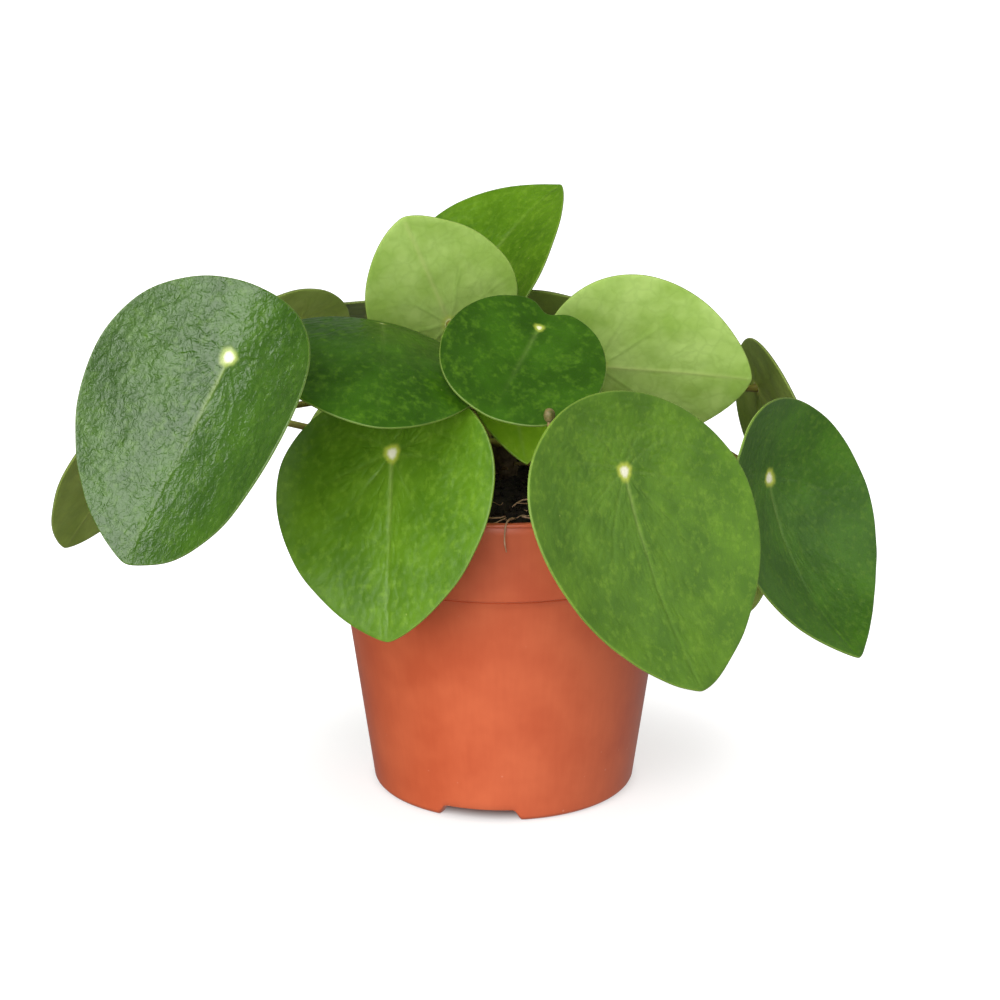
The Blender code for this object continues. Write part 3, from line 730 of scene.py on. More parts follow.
LEAVES = (
    # The two big leaves that hang over the front of the pot.
    LeafForm("front_left", (-36, -52, 131.5), facing=-34, lift=23, swing=12.5, length=83.5,
             width=83.5, taper=0.24, droop=1.5, roll=-1, fold=0.03, cup=0.02, lean=-0.03,
             skew=-0.02, node=121, bearing=-30, rise=20, reach=34, approach=20),
    LeafForm("front_right", (38, -78, 133.5), facing=46.5, lift=18, swing=-1, length=99.5,
             width=99, inset=0.26, taper=0.24, droop=-4.5, roll=-5, fold=-0.04, cup=0.01,
             lean=0.02, skew=0.12, node=119, bearing=34, rise=22, reach=38, approach=22,
             quilt=0.14),
    # The outer leaves on long petioles.
    LeafForm("far_left", (-86.5, -68, 168), facing=-21, lift=27, swing=-16.5, length=96.5,
             width=90, inset=0.25, taper=0.19, droop=-0.5, roll=-14, fold=0.16, cup=0.05,
             lean=0.08, node=139, bearing=-87, rise=0, reach=87, approach=60, crest=-15,
             age=LeafFinish.COOL, quilt=0.34, wave=0.5),
    LeafForm("far_left_back", (-118, 20, 120.5), facing=-131, lift=37, swing=23, length=76,
             width=71.5, inset=0.25, taper=0.22, droop=4, fold=-0.01, node=113, bearing=-74,
             rise=13, reach=79, approach=10, crest=25, age=LeafFinish.PAINTED_SHADE),
    LeafForm("far_right", (89, -7, 109), facing=55.5, lift=6.5, swing=-4, length=101,
             width=92.5, inset=0.29, taper=0.34, droop=-10.5, roll=-5.5, fold=0.03, cup=0.13,
             lean=-0.01, skew=0.18, node=116, bearing=84, rise=20, reach=55, approach=15,
             crest=9, age=LeafFinish.SHADY),
    # The ring of leaves round the top.
    LeafForm("mid_left", (-40, -18, 165.7), facing=-51.5, lift=106, swing=55.5, length=79,
             width=76.5, inset=0.08, taper=0.07, droop=10.5, roll=8, fold=-0.03, cup=0.01,
             lean=-0.07, skew=-0.08, node=132, bearing=-58, rise=10, reach=20, approach=20,
             age=LeafFinish.DARK),
    LeafForm("centre", (11.5, -30, 167.5), facing=28, lift=60, swing=-44.5, length=59, width=54,
             inset=0.21, taper=-0.14, droop=1.5, roll=-1.5, fold=0.18, cup=-0.01, lean=0.04,
             notch=4.5, node=147, bearing=70, rise=40, reach=14, approach=16, petiole_scale=0.9,
             age=LeafFinish.DARK, quilt=0.06),
    LeafForm("top_pale", (-18.5, 16, 157), facing=199, lift=17.5, swing=155, length=61.5,
             width=52, inset=0.25, taper=0.18, droop=-2, roll=1.5, fold=-0.03, cup=-0.01,
             lean=0.03, skew=-0.05, node=146, bearing=-75, rise=45, reach=8, approach=12,
             petiole_scale=0.9),
    LeafForm("top_dark", (-13, 52, 156.5), facing=-50.5, lift=31, swing=174.5, length=71.5,
             width=67.5, inset=0.25, taper=0.36, droop=10.5, roll=-3.5, fold=0.1, cup=-0.01,
             lean=0.03, skew=0.02, node=141, bearing=178, rise=35, reach=24, approach=15),
    LeafForm("right_pale", (32, 12, 143), facing=184, lift=16.5, swing=-85, length=74,
             width=68.5, inset=0.29, taper=0.22, droop=2, roll=0, fold=0.05, lean=-0.04,
             node=128, bearing=80, rise=30, reach=14, approach=12),
    # The back of the plant.
    LeafForm("back_right", (89.5, 54, 123.5), facing=110.5, lift=16, swing=-48, length=68,
             width=70.5, inset=0.21, taper=0.19, droop=0.5, roll=2.5, fold=-0.03, node=126,
             bearing=166, rise=14, reach=36, approach=18, crest=6, age=LeafFinish.PAINTED_SHADE),
    LeafForm("back_left", (-72, 52, 147.5), facing=-138, lift=36, swing=31.5, length=67.5,
             width=70.5, inset=0.24, taper=0.22, roll=3.5, node=129, bearing=-128, rise=22,
             reach=42, approach=20, age=LeafFinish.PAINTED_BACKLIGHT),
    LeafForm("back_left_dark", (-47, 86, 141.5), facing=-173.5, lift=60, swing=2, length=74,
             width=68, roll=2, fold=0.01, node=123, bearing=-150, rise=20, reach=40,
             approach=20, age=LeafFinish.PAINTED_SHADE),
    LeafForm("back_middle", (15, 62, 147), facing=166, lift=47, swing=6.5, length=73, width=66,
             roll=2, fold=-0.02, node=134, bearing=160, rise=25, reach=26, approach=18,
             age=LeafFinish.PAINTED_BACKLIGHT),
    LeafForm("rear_left", (-35, 87, 102), facing=-165, lift=12, swing=5, length=82, width=76,
             node=116, bearing=-160, rise=24, reach=40, approach=16, crest=14),
    LeafForm("rear_right", (28, 80, 101), facing=164, lift=14, swing=-4, length=82, width=72,
             node=112.5, bearing=170, rise=22, reach=38, approach=16, crest=14),
    LeafForm("rear_side", (78, 54, 85), facing=122, lift=10, swing=6, length=70, width=60,
             node=116, bearing=147, rise=14, reach=44, approach=12, crest=33, age=LeafFinish.DARK),
    # The newest leaf, still cupped, under the centre one.
    LeafForm("young", (1.5, -28, 148.5), facing=21.5, lift=44, swing=-2.5, length=42.5,
             width=29.5, inset=0.3, taper=0.35, droop=2, roll=-11, node=139, bearing=-4,
             rise=20, reach=9, approach=10, petiole_scale=0.7, age=LeafFinish.YOUNG, quilt=0.05,
             wave=0.15),
)


@dataclass
class Blade:
    """The round blade of one leaf: a closed shell with veins, puckers and a rounded edge."""

    form: LeafForm
    seed: int
    thickness: float = 0.9
    sides: int = 288
    upper_rings: int = 60
    lower_rings: int = 22
    edge_steps: int = 5
    scallop_length: float = 17.0
    wave_length: float = 34.0
    swell_length: float = 13.0
    warp_length: float = 9.0
    cell_size: float = 3.6
    cell_wall: float = 0.8
    vein_width: float = 0.75
    midrib_width: float = 0.8
    tip_bluntness: float = 0.004
    notch_spread: float = 0.2
    fold_softness: float = 2.0

    def axes(self) -> np.ndarray:
        """Rows: towards the tip, across, and out of the upper face."""
        form = self.form
        up = bearing_vector(form.facing, form.lift)
        lift, facing = math.radians(form.lift), math.radians(form.facing)
        downhill = np.array([math.sin(lift) * math.sin(facing),
                             -math.sin(lift) * math.cos(facing), -math.cos(lift)])
        swing = math.radians(form.swing)
        along = math.cos(swing) * downhill + math.sin(swing) * np.cross(up, downhill)
        return np.stack([along, np.cross(up, along), up])

    def outline(self, angle: np.ndarray) -> tuple:
        """Margin of the flat blade about its insertion.

        Along: L ((1 + cos a) / 2 - inset), plus a Gaussian notch at the base. Across:
        W / 2 sin a (sin^2(a / 2) + bluntness)^taper, scaled to the width, plus lean times
        its own size; skew times that slides each side along.

        Args:
            angle: Angles, 0 at the tip and pi at the base.

        Returns:
            Distances along and across in mm.
        """
        form = self.form

        def half_width(turn: np.ndarray) -> np.ndarray:
            """Unscaled half width at an angle."""
            return np.sin(turn) * (np.sin(turn / 2.0)**2 + self.tip_bluntness)**form.taper

        peak = half_width(np.linspace(0.0, math.pi, 201)).max()
        base = np.abs(angle - math.pi)
        along = form.length * ((1.0 + np.cos(angle)) / 2.0 - form.inset)
        along = along + form.notch * np.exp(-(base / self.notch_spread)**2)
        across = form.width / 2.0 * half_width(angle) / peak
        across = across + form.lean * np.abs(across)
        return along + form.skew * across, across

    def vein_paths(self, heading: np.ndarray, reach: np.ndarray,
                   chance: np.random.Generator) -> list:
        """Main veins fan out from the insertion, fork, and branch off the midrib.

        A fan vein keeps heading(t) = start (1 - bend t) while its radius grows as t times
        the blade's reach in that heading.

        Args:
            heading: Direction of each margin point from the insertion, rising.
            reach: Distance of each margin point.
            chance: Seeded generator.

        Returns:
            Pairs of an (n, 2) path and its strength.
        """
        def fan(share: np.ndarray, direction: np.ndarray) -> np.ndarray:
            """Points at a share of the reach in each direction."""
            far = np.interp(direction, heading, reach, period=2.0 * math.pi)
            return np.stack([share * far * np.cos(direction),
                             share * far * np.sin(direction)], axis=-1)

        share = np.linspace(0.0, 0.97, 26)
        paths = [(fan(share, 0.0 * share), 1.0)]
        for side in (-1.0, 1.0):
            for start in (38.0, 80.0, 122.0, 162.0):
                turn = math.radians(start + chance.uniform(-6.0, 6.0))
                wobble = 0.05 * np.sin(6.0 * share + chance.uniform(0.0, 6.0))
                direction = side * (turn * (1.0 - 0.2 * share) + wobble)
                fork = chance.uniform(0.46, 0.62)
                trunk = share < fork
                paths.append((fan(share[trunk], direction[trunk]), 0.75))
                past = np.linspace(fork - 0.03, 0.95, 14)
                base = np.interp(past, share, direction)
                for spread in (-0.3, 0.26):
                    paths.append((fan(past, base + spread * (past - past[0]) / 0.5), 0.5))
            for start in (0.4, 0.6, 0.78):
                run = np.linspace(0.0, 1.0, 12)
                foot = fan(np.array([start]), np.array([0.0]))[0]
                turn = side * math.radians(58.0) * (1.0 - 0.35 * run)
                step = 0.36 * self.form.width * (1.05 - start)
                walk = np.cumsum(np.stack([np.cos(turn), np.sin(turn)], axis=-1), axis=0)
                paths.append((foot + walk * step / len(run), 0.5))
        return paths

    def vein_field(self, place: np.ndarray, paths: list, width: float) -> np.ndarray:
        """Strongest of strength * exp(-(distance / width)^2) over all the veins.

        Args:
            place: Points on the flat blade, (n, 2).
            paths: Pairs of path and strength.
            width: Half width of a vein in mm.

        Returns:
            Values of 0 to 1, (n,).
        """
        field = np.zeros(len(place))
        for path, strength in paths:
            start, run = path[:-1], np.diff(path, axis=0)
            away = place[:, None, :] - start
            share = np.clip((away * run).sum(-1) / (run**2).sum(-1), 0.0, 1.0)
            gap = np.linalg.norm(away - share[..., None] * run, axis=-1).min(axis=1)
            fade = 1.0 - 0.5 * np.clip(np.linalg.norm(place, axis=1) / self.form.length, 0, 1)
            field = np.maximum(field, strength * fade * np.exp(-(gap / width)**2))
        return field

    def build(self, axis: np.ndarray, skins: dict) -> bpy.types.Object:
        """Work the shell out ring by ring from the upper pole round to the lower one.

        Args:
            axis: Place of the pot's axis in mm.
            skins: Upper and under materials by leaf finish.

        Returns:
            The blade.
        """
        form = self.form
        chance = np.random.default_rng(self.seed)
        angle = np.linspace(0.0, 2.0 * math.pi, self.sides, endpoint=False)
        along, across = self.outline(angle)
        reach = np.hypot(along, across)
        heading = np.unwrap(np.arctan2(across, along))
        scallop = ripple(reach * np.cos(heading), reach * np.sin(heading),
                         self.scallop_length, chance)
        reach = reach * (1.0 + 0.5 * form.wave * scallop / reach.max())
        tangent = np.stack([np.gradient(reach * np.cos(heading)),
                            np.gradient(reach * np.sin(heading))])
        slant = np.abs(tangent[1] * np.cos(heading) - tangent[0] * np.sin(heading))
        slant = slant / np.hypot(*tangent)

        half = self.thickness / 2.0
        upper = (np.arange(1, self.upper_rings + 1) / self.upper_rings)**0.92
        lower = (np.arange(self.lower_rings, 0, -1) / self.lower_rings)
        edge = np.linspace(0.0, math.pi, self.edge_steps + 1)[1:-1]
        flat = np.concatenate([upper, np.ones(len(edge)), lower])[:, None]
        bulge = np.concatenate([0 * upper, np.sin(edge), 0 * lower])[:, None]
        depth = np.concatenate([0 * upper, half * (np.cos(edge) - 1.0),
                                0 * lower - self.thickness])[:, None]
        radius = flat * (reach - half) + bulge * half
        u, v = radius * np.cos(heading), radius * np.sin(heading)
        is_upper = np.concatenate([0 * upper + 1, 0 * edge, 0 * lower])[:, None]
        is_lower = np.concatenate([0 * upper, 0 * edge, 0 * lower + 1])[:, None]
        from_margin = np.where(bulge > 0, 0.0, (reach - radius) * slant)

        sheet = form.fold * (np.hypot(v, self.fold_softness) - self.fold_softness)
        sheet = sheet + form.cup * np.hypot(u, v)
        near_edge = (radius / reach)**3
        sheet = sheet + form.wave * near_edge * ripple(u, v, self.wave_length, chance)
        swell = 1.05 * form.quilt * ripple(u, v, self.swell_length, chance)
        sheet = sheet + swell * (1 - near_edge)
        paths = self.vein_paths(heading, reach, chance)
        spots = np.stack([u.ravel(), v.ravel()], axis=-1)
        groove = self.vein_field(spots, paths[1:], self.vein_width).reshape(u.shape)
        midrib = self.vein_field(spots, paths[:1], self.midrib_width).reshape(u.shape)
        warp = 1.6 * ripple(u, v, self.warp_length, chance)
        walls = cell_walls(u + warp, v - warp, self.cell_size, chance)
        pucker = form.quilt * (0.6 - np.exp(-(walls / self.cell_wall)**2))
        inside = smoothstep(0.3, 3.0, from_margin) * smoothstep(0.5, 7.0, radius)
        dimple = 0.16 * np.exp(-(radius / 3.2)**2) - 0.06 * np.exp(-(radius / 1.1)**2)
        crease = 0.7 * form.quilt + 0.05
        sheet = sheet + is_upper * (inside * (pucker - crease * (groove + 1.4 * midrib)) - dimple)
        sheet = sheet - is_lower * inside * (0.2 * np.maximum(groove, midrib) - 0.4 * pucker)

        y, z = bent(v, sheet + depth, form.roll * MM)
        x, z = bent(u, z, form.droop * MM)
        rings = np.stack([x, y, z], axis=-1) @ self.axes() + np.array(form.insertion)
        slots = np.concatenate([np.zeros(self.upper_rings + len(edge) // 2 + 1, int),
                                np.ones(self.lower_rings + len(edge) - len(edge) // 2, int)])
        surface = Surface()
        surface.add_rings(rings, slots)
        piece = surface.to_object(f"{form.name}_leaf", axis, skins[form.age])
        ends = np.array([0.0, 0.0])
        set_attribute(piece, "leaf_mm", np.concatenate([
            np.stack([u.ravel(), v.ravel(), 0 * u.ravel() + 37.0 * self.seed], axis=-1),
            [[0.0, 0.0, 37.0 * self.seed]] * 2]))
        set_attribute(piece, "vein", np.concatenate([groove.ravel(), ends + 1.0]))
        set_attribute(piece, "midrib", np.concatenate([midrib.ravel(), ends + 1.0]))
        # Short rays run out of the heart where the main veins start.
        rays = 1.0 - 0.08 * np.sin(3.0 * heading + self.seed) - 0.03 * np.sin(8.0 * heading)
        set_attribute(piece, "from_insertion", np.concatenate([(radius * rays).ravel(), ends]))
        set_attribute(piece, "from_margin", np.concatenate([from_margin.ravel(), ends + 20.0]))
        settle(piece, "leaf_blade", f"{form.name}_blade")
        return piece


@dataclass
class Stem:
    """The short woody stem: scarred bark, dry stipules and the growing tip."""

    low_radius: float = 4.6
    top_radius: float = 3.2
    soil_height: float = 106.5
    top: float = 152.0
    lean: tuple = (0.02, -0.05)
    buried: float = 14.0
    sides: int = 48
    stations: int = 110

    def centre(self, height: np.ndarray) -> np.ndarray:
        """Point of the stem's axis at a height: it leans evenly above the compost."""
        height = np.asarray(height, float)
        climb = np.maximum(height - self.soil_height, 0.0)
        return np.stack([self.lean[0] * climb, self.lean[1] * climb, height], axis=-1)

    def radius(self, height: np.ndarray) -> np.ndarray:
        """Radius at a height, tapering evenly above the compost."""
        share = np.clip((height - self.soil_height) / (self.top - self.soil_height), 0.0, 1.0)
        return self.low_radius + share * (self.top_radius - self.low_radius)

    def build(self, axis: np.ndarray) -> list:
        """Make the bark, the stipules and the tip.

        Args:
            axis: Place of the pot's axis in mm.

        Returns:
            The pieces.
        """
        chance = np.random.default_rng(7)
        height = np.linspace(self.soil_height - self.buried, self.top, self.stations)
        cap = self.top - 5.0
        radii = self.radius(height)
        dome = np.clip((height - cap) / 5.6, 0.0, 1.0)
        radii = radii * np.sqrt(1.0 - dome**2)
        turn = np.linspace(0.0, 2.0 * math.pi, self.sides, endpoint=False)
        rings_of_scars = 0.05 * np.sin(2.0 * math.pi * height / 5.0)[:, None]
        swell = 1.0 + rings_of_scars + 0.04 * np.sin(5.0 * turn + height[:, None] * 0.35)
        for scar_height, scar_turn in zip(np.arange(110.0, 147.0, 2.4),
                                          np.arange(16) * math.radians(137.5)):
            gap = np.angle(np.exp(1j * (turn - scar_turn)))
            swell = swell + 0.16 * np.exp(-(gap / 0.32)**2
                                          - ((height[:, None] - scar_height) / 1.1)**2)
        swell = swell + 0.02 * chance.standard_normal(swell.shape)
        # Brown bark made darker than its own colour: painted shade for the stem, which stands in
        # deep shadow under the leaves.
        bark = GrainySkin("shade_darkened_stem_bark", "#2A1E12", "#5C4A2E", 5.0, 0.8, 0.3, 0.8).make()
        surface = Surface()
        surface.add_rings(tube(self.centre(height), radii, self.sides, swell))
        stem = surface.to_object("woody_stem", axis, [bark])
        settle(stem, "brown_stem", "stem")
        return [stem, self.stipules(axis, chance)]

    def stipules(self, axis: np.ndarray, chance: np.random.Generator) -> bpy.types.Object:
        """Dry triangular scales that stand off the stem where leaves were.

        Each scale is a flattened tube that narrows to a point as it leaves the stem.

        Args:
            axis: Place of the pot's axis in mm.
            chance: Seeded generator.

        Returns:
            The piece.
        """
        # Dry brown scales made darker than their own colour: painted shade, as they stand in the
        # shadow under the leaves.
        papery = GrainySkin("shade_darkened_stipule", "#423018", "#84683E", 3.0, 0.5, 0.15, 0.75).make()
        surface = Surface()
        for count in range(26):
            height = 111.0 + 40.0 * (count / 26.0)**0.8
            bearing = math.degrees(count * 2.39996) + chance.uniform(-12.0, 12.0)
            out = bearing_vector(bearing)
            rise = chance.uniform(38.0, 72.0)
            foot = self.centre(height) + out * (self.radius(height) - 0.4)
            length = chance.uniform(2.6, 4.6)
            lean = bearing_vector(bearing, rise)
            curl = bearing_vector(bearing, rise - 30.0)
            path = bezier((foot, foot + lean * length * 0.4, foot + lean * length * 0.8,
                           foot + lean * length * 0.8 + curl * length * 0.3), 9)
            taper = np.sqrt(np.clip(1.0 - np.linspace(0.0, 1.0, 9), 0.004, 1.0))
            side = np.cross(out, [0.0, 0.0, 1.0])
            ring = np.linspace(0.0, 2.0 * math.pi, 10, endpoint=False)
            face = unit(np.cross(side, lean))
            rings = (path[:, None, :]
                     + (1.3 * taper[:, None] * np.cos(ring))[..., None] * side
                     + (0.22 * taper[:, None] * np.sin(ring))[..., None] * face)
            surface.add_rings(rings[:, ::-1])
        piece = surface.to_object("stem_stipules", axis, [papery])
        settle(piece, "brown_stem")
        return piece


@dataclass
class Petiole:
    """The stalk of one leaf, swollen where it leaves the stem and where it bears the blade."""

    form: LeafForm
    blade: Blade
    stem: Stem
    radius: float = 1.1
    flare: float = 0.3
    fit_gap: float = 0.3
    facet_allowance: float = 0.12
    blade_depth: float = 1.0
    stations: int = 56
    sides: int = 20

    def path(self) -> np.ndarray:
        """Centre line from inside the stem's bark to just under the blade's skin."""
        form = self.form
        radius = self.radius * form.petiole_scale
        outward = bearing_vector(form.bearing)
        leave = bearing_vector(form.bearing, form.rise)
        lean = math.sqrt(1.0 - min(abs(float(leave @ outward)), 1.0)**2)
        gap = float(self.stem.radius(form.node)) + self.fit_gap + (radius + self.flare) * lean
        start = self.stem.centre(form.node) + outward * (gap + self.facet_allowance)
        up = self.blade.axes()[2]
        handle = np.array([0.0, 0.0, form.crest]) - up * form.approach
        tilt = math.sqrt(1.0 - min(abs(float(unit(handle) @ up)), 1.0)**2)
        depth = self.blade_depth + self.fit_gap + radius * tilt + self.facet_allowance
        end = np.array(form.insertion) - up * depth
        body = bezier((start, start + leave * form.reach, end + handle, end), self.stations)
        # Both ends run on until they meet what they grow from.
        root = start - leave * (gap - float(self.stem.radius(form.node)) + 0.8)
        seat = end + up * (depth - 0.75)
        return np.concatenate([[root], body, [0.5 * (end + seat), seat]])

    def build(self, axis: np.ndarray, skin: bpy.types.Material) -> bpy.types.Object:
        """Sweep the stalk: r (1 + foot swelling + neck swelling + slow unevenness).

        Args:
            axis: Place of the pot's axis in mm.
            skin: The stalk's material.

        Returns:
            The petiole.
        """
        path = self.path()
        radius = self.radius * self.form.petiole_scale
        walked = np.concatenate([[0.0], np.cumsum(np.linalg.norm(np.diff(path, axis=0),
                                                                 axis=1))])
        left = walked[-1] - walked
        chance = np.random.default_rng(len(self.form.name) * 31 + int(self.form.node))
        uneven = 0.05 * np.sin(walked / 9.0 + chance.uniform(0.0, 6.0))
        radii = radius * (1.0 + 0.45 * np.exp(-(walked / 2.6)**2)
                          + 0.35 * np.exp(-(left / 2.2)**2) + uneven)
        turn = np.linspace(0.0, 2.0 * math.pi, self.sides, endpoint=False)
        swell = 1.0 + 0.03 * np.sin(3.0 * turn + 1.0)[None, :] * np.ones((len(path), 1))
        surface = Surface()
        surface.add_rings(tube(path, radii, self.sides, swell))
        piece = surface.to_object(f"{self.form.name}_stalk", axis, [skin])
        place = np.stack(np.broadcast_arrays(walked[:, None], radius * np.cos(turn),
                                             radius * np.sin(turn)), axis=-1).reshape(-1, 3)
        place = np.concatenate([place, [[0.0, 0.0, 0.0], [walked[-1], 0.0, 0.0]]])
        set_attribute(piece, "stalk_mm", place + chance.uniform(0.0, 90.0))
        settle(piece, "petiole_skin", f"{self.form.name}_petiole")
        return piece


@dataclass
class LeafBud:
    """The unopened leaf: a small egg on a thin stalk that comes up in front."""

    centre: tuple = (14.2, -74.0, 150.8)
    radius: float = 1.9
    height: float = 4.6
    stalk_radius: float = 0.6
    stalk: tuple = ((3.8, -3.4, 113.0), (25.0, -23.0, 118.0), (14.0, -71.0, 130.0))

    def build(self, axis: np.ndarray) -> list:
        """Make the egg, r sin(t)^0.9 with shallow lengthwise folds, and its stalk.

        Args:
            axis: Place of the pot's axis in mm.

        Returns:
            The pieces.
        """
        skin = GrainySkin("bud_skin", "#5B5F26", "#8F7B52", 1.6, 0.4, 0.1, 0.5).make()
        fawn = GrainySkin("bud_stalk_skin", "#7A6A40", "#A8905C", 4.0, 0.5, 0.1, 0.55).make()
        turn = np.linspace(0.08, math.pi - 0.08, 26)
        profile = np.stack([self.radius * np.sin(turn)**0.9,
                            -self.height / 2.0 * np.cos(turn)], axis=-1)
        rings = turned(profile, 32)
        ring = np.linspace(0.0, 2.0 * math.pi, 32, endpoint=False)
        rings[..., :2] *= (1.0 - 0.06 * np.abs(np.sin(2.5 * ring)))[None, :, None]
        surface = Surface()
        surface.add_rings((rings + np.array(self.centre))[:, ::-1])
        egg = surface.to_object("leaf_bud", axis, [skin])
        settle(egg, "bud_skin", "bud")
        end = np.array(self.centre) - np.array([0.0, 0.0, self.height / 2.0 - 0.2])
        path = bezier((*self.stalk, end), 48)
        stalk = Surface()
        stalk.add_rings(tube(path, np.full(48, self.stalk_radius), 12))
        piece = stalk.to_object("leaf_bud_stalk", axis, [fawn])
        settle(piece, "bud_skin", "bud_stalk")
        return [egg, piece]


# ------------------------------------------------------------------ pot and compost

@dataclass
class Pot:
    """The moulded nursery pot: lip, stepped rim band, tapered wall, notched foot, drains."""

    height: float = 110.0
    wall: float = 1.2
    rim_radius: float = 60.0
    lip_height: float = 1.6
    band_top_radius: float = 59.3
    band_low_radius: float = 57.8
    band_height: float = 27.5
    body_top_radius: float = 56.2
    body_low_radius: float = 44.7
    foot_rounding: float = 2.2
    foot_ring_width: float = 2.5
    floor_lift: float = 4.0
    floor_thickness: float = 1.5
    notch_height: float = 3.8
    notch_top_width: float = 22.0
    notch_low_width: float = 28.0
    notch_bearing: float = -11.0
    notch_count: int = 3
    drain_count: int = 6
    drain_radius: float = 4.0
    drain_circle: float = 28.0
    drain_bearing: float = 30.0
    sides: int = 360

    def inner_radius(self, height: float) -> float:
        """Radius of the inside wall at a height on the body or the band."""
        step = self.height - self.band_height
        if height >= step:
            share = (height - step) / self.band_height
            return self.band_low_radius + share * (self.band_top_radius
                                                   - self.band_low_radius) - self.wall
        share = (height - self.foot_rounding) / (step - self.foot_rounding)
        return self.body_low_radius + share * (self.body_top_radius
                                               - self.body_low_radius) - self.wall

    def profile(self) -> np.ndarray:
        """Section from under the floor, out, up over the lip and back in to the floor.

        Every corner is a small arc, so that each edge catches a line of light.
        """
        step = self.height - self.band_height
        ground = self.body_low_radius - self.foot_rounding
        floor_top = self.floor_lift + self.floor_thickness
        lip = self.height - self.lip_height
        quarter = np.linspace(0.0, math.pi / 2.0, 6)

        def corner(centre: tuple, radius: float, start: float, sweep: float) -> np.ndarray:
            """Arc about a centre, start and sweep in quarter turns."""
            turn = start * math.pi / 2.0 + sweep * quarter
            return np.stack([centre[0] + radius * np.cos(turn),
                             centre[1] + radius * np.sin(turn)], axis=-1)

        foot = corner((ground, self.foot_rounding), self.foot_rounding, -1.0, 1.0)
        wall_heights = np.linspace(self.foot_rounding + 2.0, step - 1.2, 30)
        share = (wall_heights - self.foot_rounding) / (step - self.foot_rounding)
        wall = np.stack([self.body_low_radius + share * (self.body_top_radius
                                                         - self.body_low_radius),
                         wall_heights], axis=-1)
        band_heights = np.linspace(step + 0.8, lip - 0.5, 12)
        share = (band_heights - step) / self.band_height
        band = np.stack([self.band_low_radius + share * (self.band_top_radius
                                                         - self.band_low_radius),
                         band_heights], axis=-1)
        inner = [(self.inner_radius(level), level)
                 for level in (self.height - 0.5, lip, 95.0, step + 1.2, step - 1.2, 60.0, 40.0,
                               20.0, floor_top + 2.0)]
        parts = [np.array([(0.4, self.floor_lift), (20.0, self.floor_lift),
                           (ground - 0.6, self.floor_lift), (ground - 1.0, self.floor_lift - 0.6),
                           (ground - self.foot_ring_width + 0.4, 0.25),
                           (ground - self.foot_ring_width + 0.9, 0.0)]),
                 foot, wall,
                 np.array([(self.body_top_radius - 0.05, step - 1.0),
                           (self.body_top_radius - 0.35, step - 0.7),
                           (self.body_top_radius - 0.35, step - 0.1),
                           (self.body_top_radius + 0.1, step)]),
                 corner((self.band_low_radius - 0.45, step + 0.45), 0.45, -1.0, 1.0), band,
                 np.array([(self.band_top_radius - 0.3, lip - 0.1),
                           (self.band_top_radius - 0.3, lip + 0.1),
                           (self.band_top_radius - 0.1, lip + 0.15)]),
                 corner((self.rim_radius - 0.7, lip + 0.85), 0.7, -1.0, 1.0),
                 corner((self.rim_radius - 0.7, self.height - 0.7), 0.7, 0.0, 1.0),
                 np.array([(self.inner_radius(self.height) + 0.3, self.height)]),
                 np.array(inner),
                 corner((inner[-1][0] - 2.0, floor_top + 2.0), 2.0, 0.0, -1.0),
                 np.array([(20.0, floor_top), (0.4, floor_top)])]
        return np.concatenate(parts)

    def notched(self, rings: np.ndarray) -> np.ndarray:
        """Raise the foot into a trapezium at each notch.

        A point of the foot at height z goes to low + z (top - low) / top, where low is the
        notch's height at that bearing and top stands just above the notch.

        Args:
            rings: The turned rings, (n, sides, 3).

        Returns:
            The rings with their foot raised at the notches.
        """
        turn = np.arctan2(rings[..., 0], -rings[..., 1])
        spread = 2.0 * math.pi / self.notch_count
        start = math.radians(self.notch_bearing)
        gap = np.abs((turn - start + spread / 2.0) % spread - spread / 2.0)
        side = np.sin(gap) * (self.body_low_radius - self.foot_rounding)
        low = self.notch_height * (1.0 - smoothstep(self.notch_top_width / 2.0,
                                                    self.notch_low_width / 2.0, side))
        top = self.notch_height + 1.2
        height = rings[..., 2]
        radius = np.hypot(rings[..., 0], rings[..., 1])
        foot = (height < top) & (radius > self.body_low_radius - self.foot_rounding
                                 - self.foot_ring_width - 0.1)
        foot &= ~((height > self.floor_lift - 0.1)
                  & (radius < self.body_low_radius - self.foot_rounding))
        raised = rings.copy()
        raised[..., 2] = np.where(foot, low + height * (top - low) / top, height)
        return raised

    def build(self, axis: np.ndarray) -> bpy.types.Object:
        """Turn the section, notch the foot and cut the drain holes through the floor.

        Args:
            axis: Place of the pot's axis in mm.

        Returns:
            The pot.
        """
        surface = Surface()
        surface.add_rings(self.notched(turned(self.profile(), self.sides)))
        pot = surface.to_object("nursery_pot", axis, [PotPlastic().make()], 35.0)
        drains = Surface()
        for count in range(self.drain_count):
            bearing = self.drain_bearing + 360.0 * count / self.drain_count
            centre = bearing_vector(bearing) * self.drain_circle
            floor = np.array([(self.drain_radius, self.floor_lift - 2.0),
                              (self.drain_radius, self.floor_lift + self.floor_thickness + 2.0)])
            drains.add_rings(turned(floor, 40) + centre)
        cutter = drains.to_object("drain_cutter", axis, [])
        cut = pot.modifiers.new("drains", "BOOLEAN")
        cut.operation = "DIFFERENCE"
        cut.object = cutter
        shaped = bpy.data.meshes.new_from_object(
            pot.evaluated_get(bpy.context.evaluated_depsgraph_get()))
        pot.modifiers.clear()
        pot.data = shaped
        bpy.data.objects.remove(cutter, do_unlink=True)
        settle(pot, "pot_plastic", "pot")
        return pot


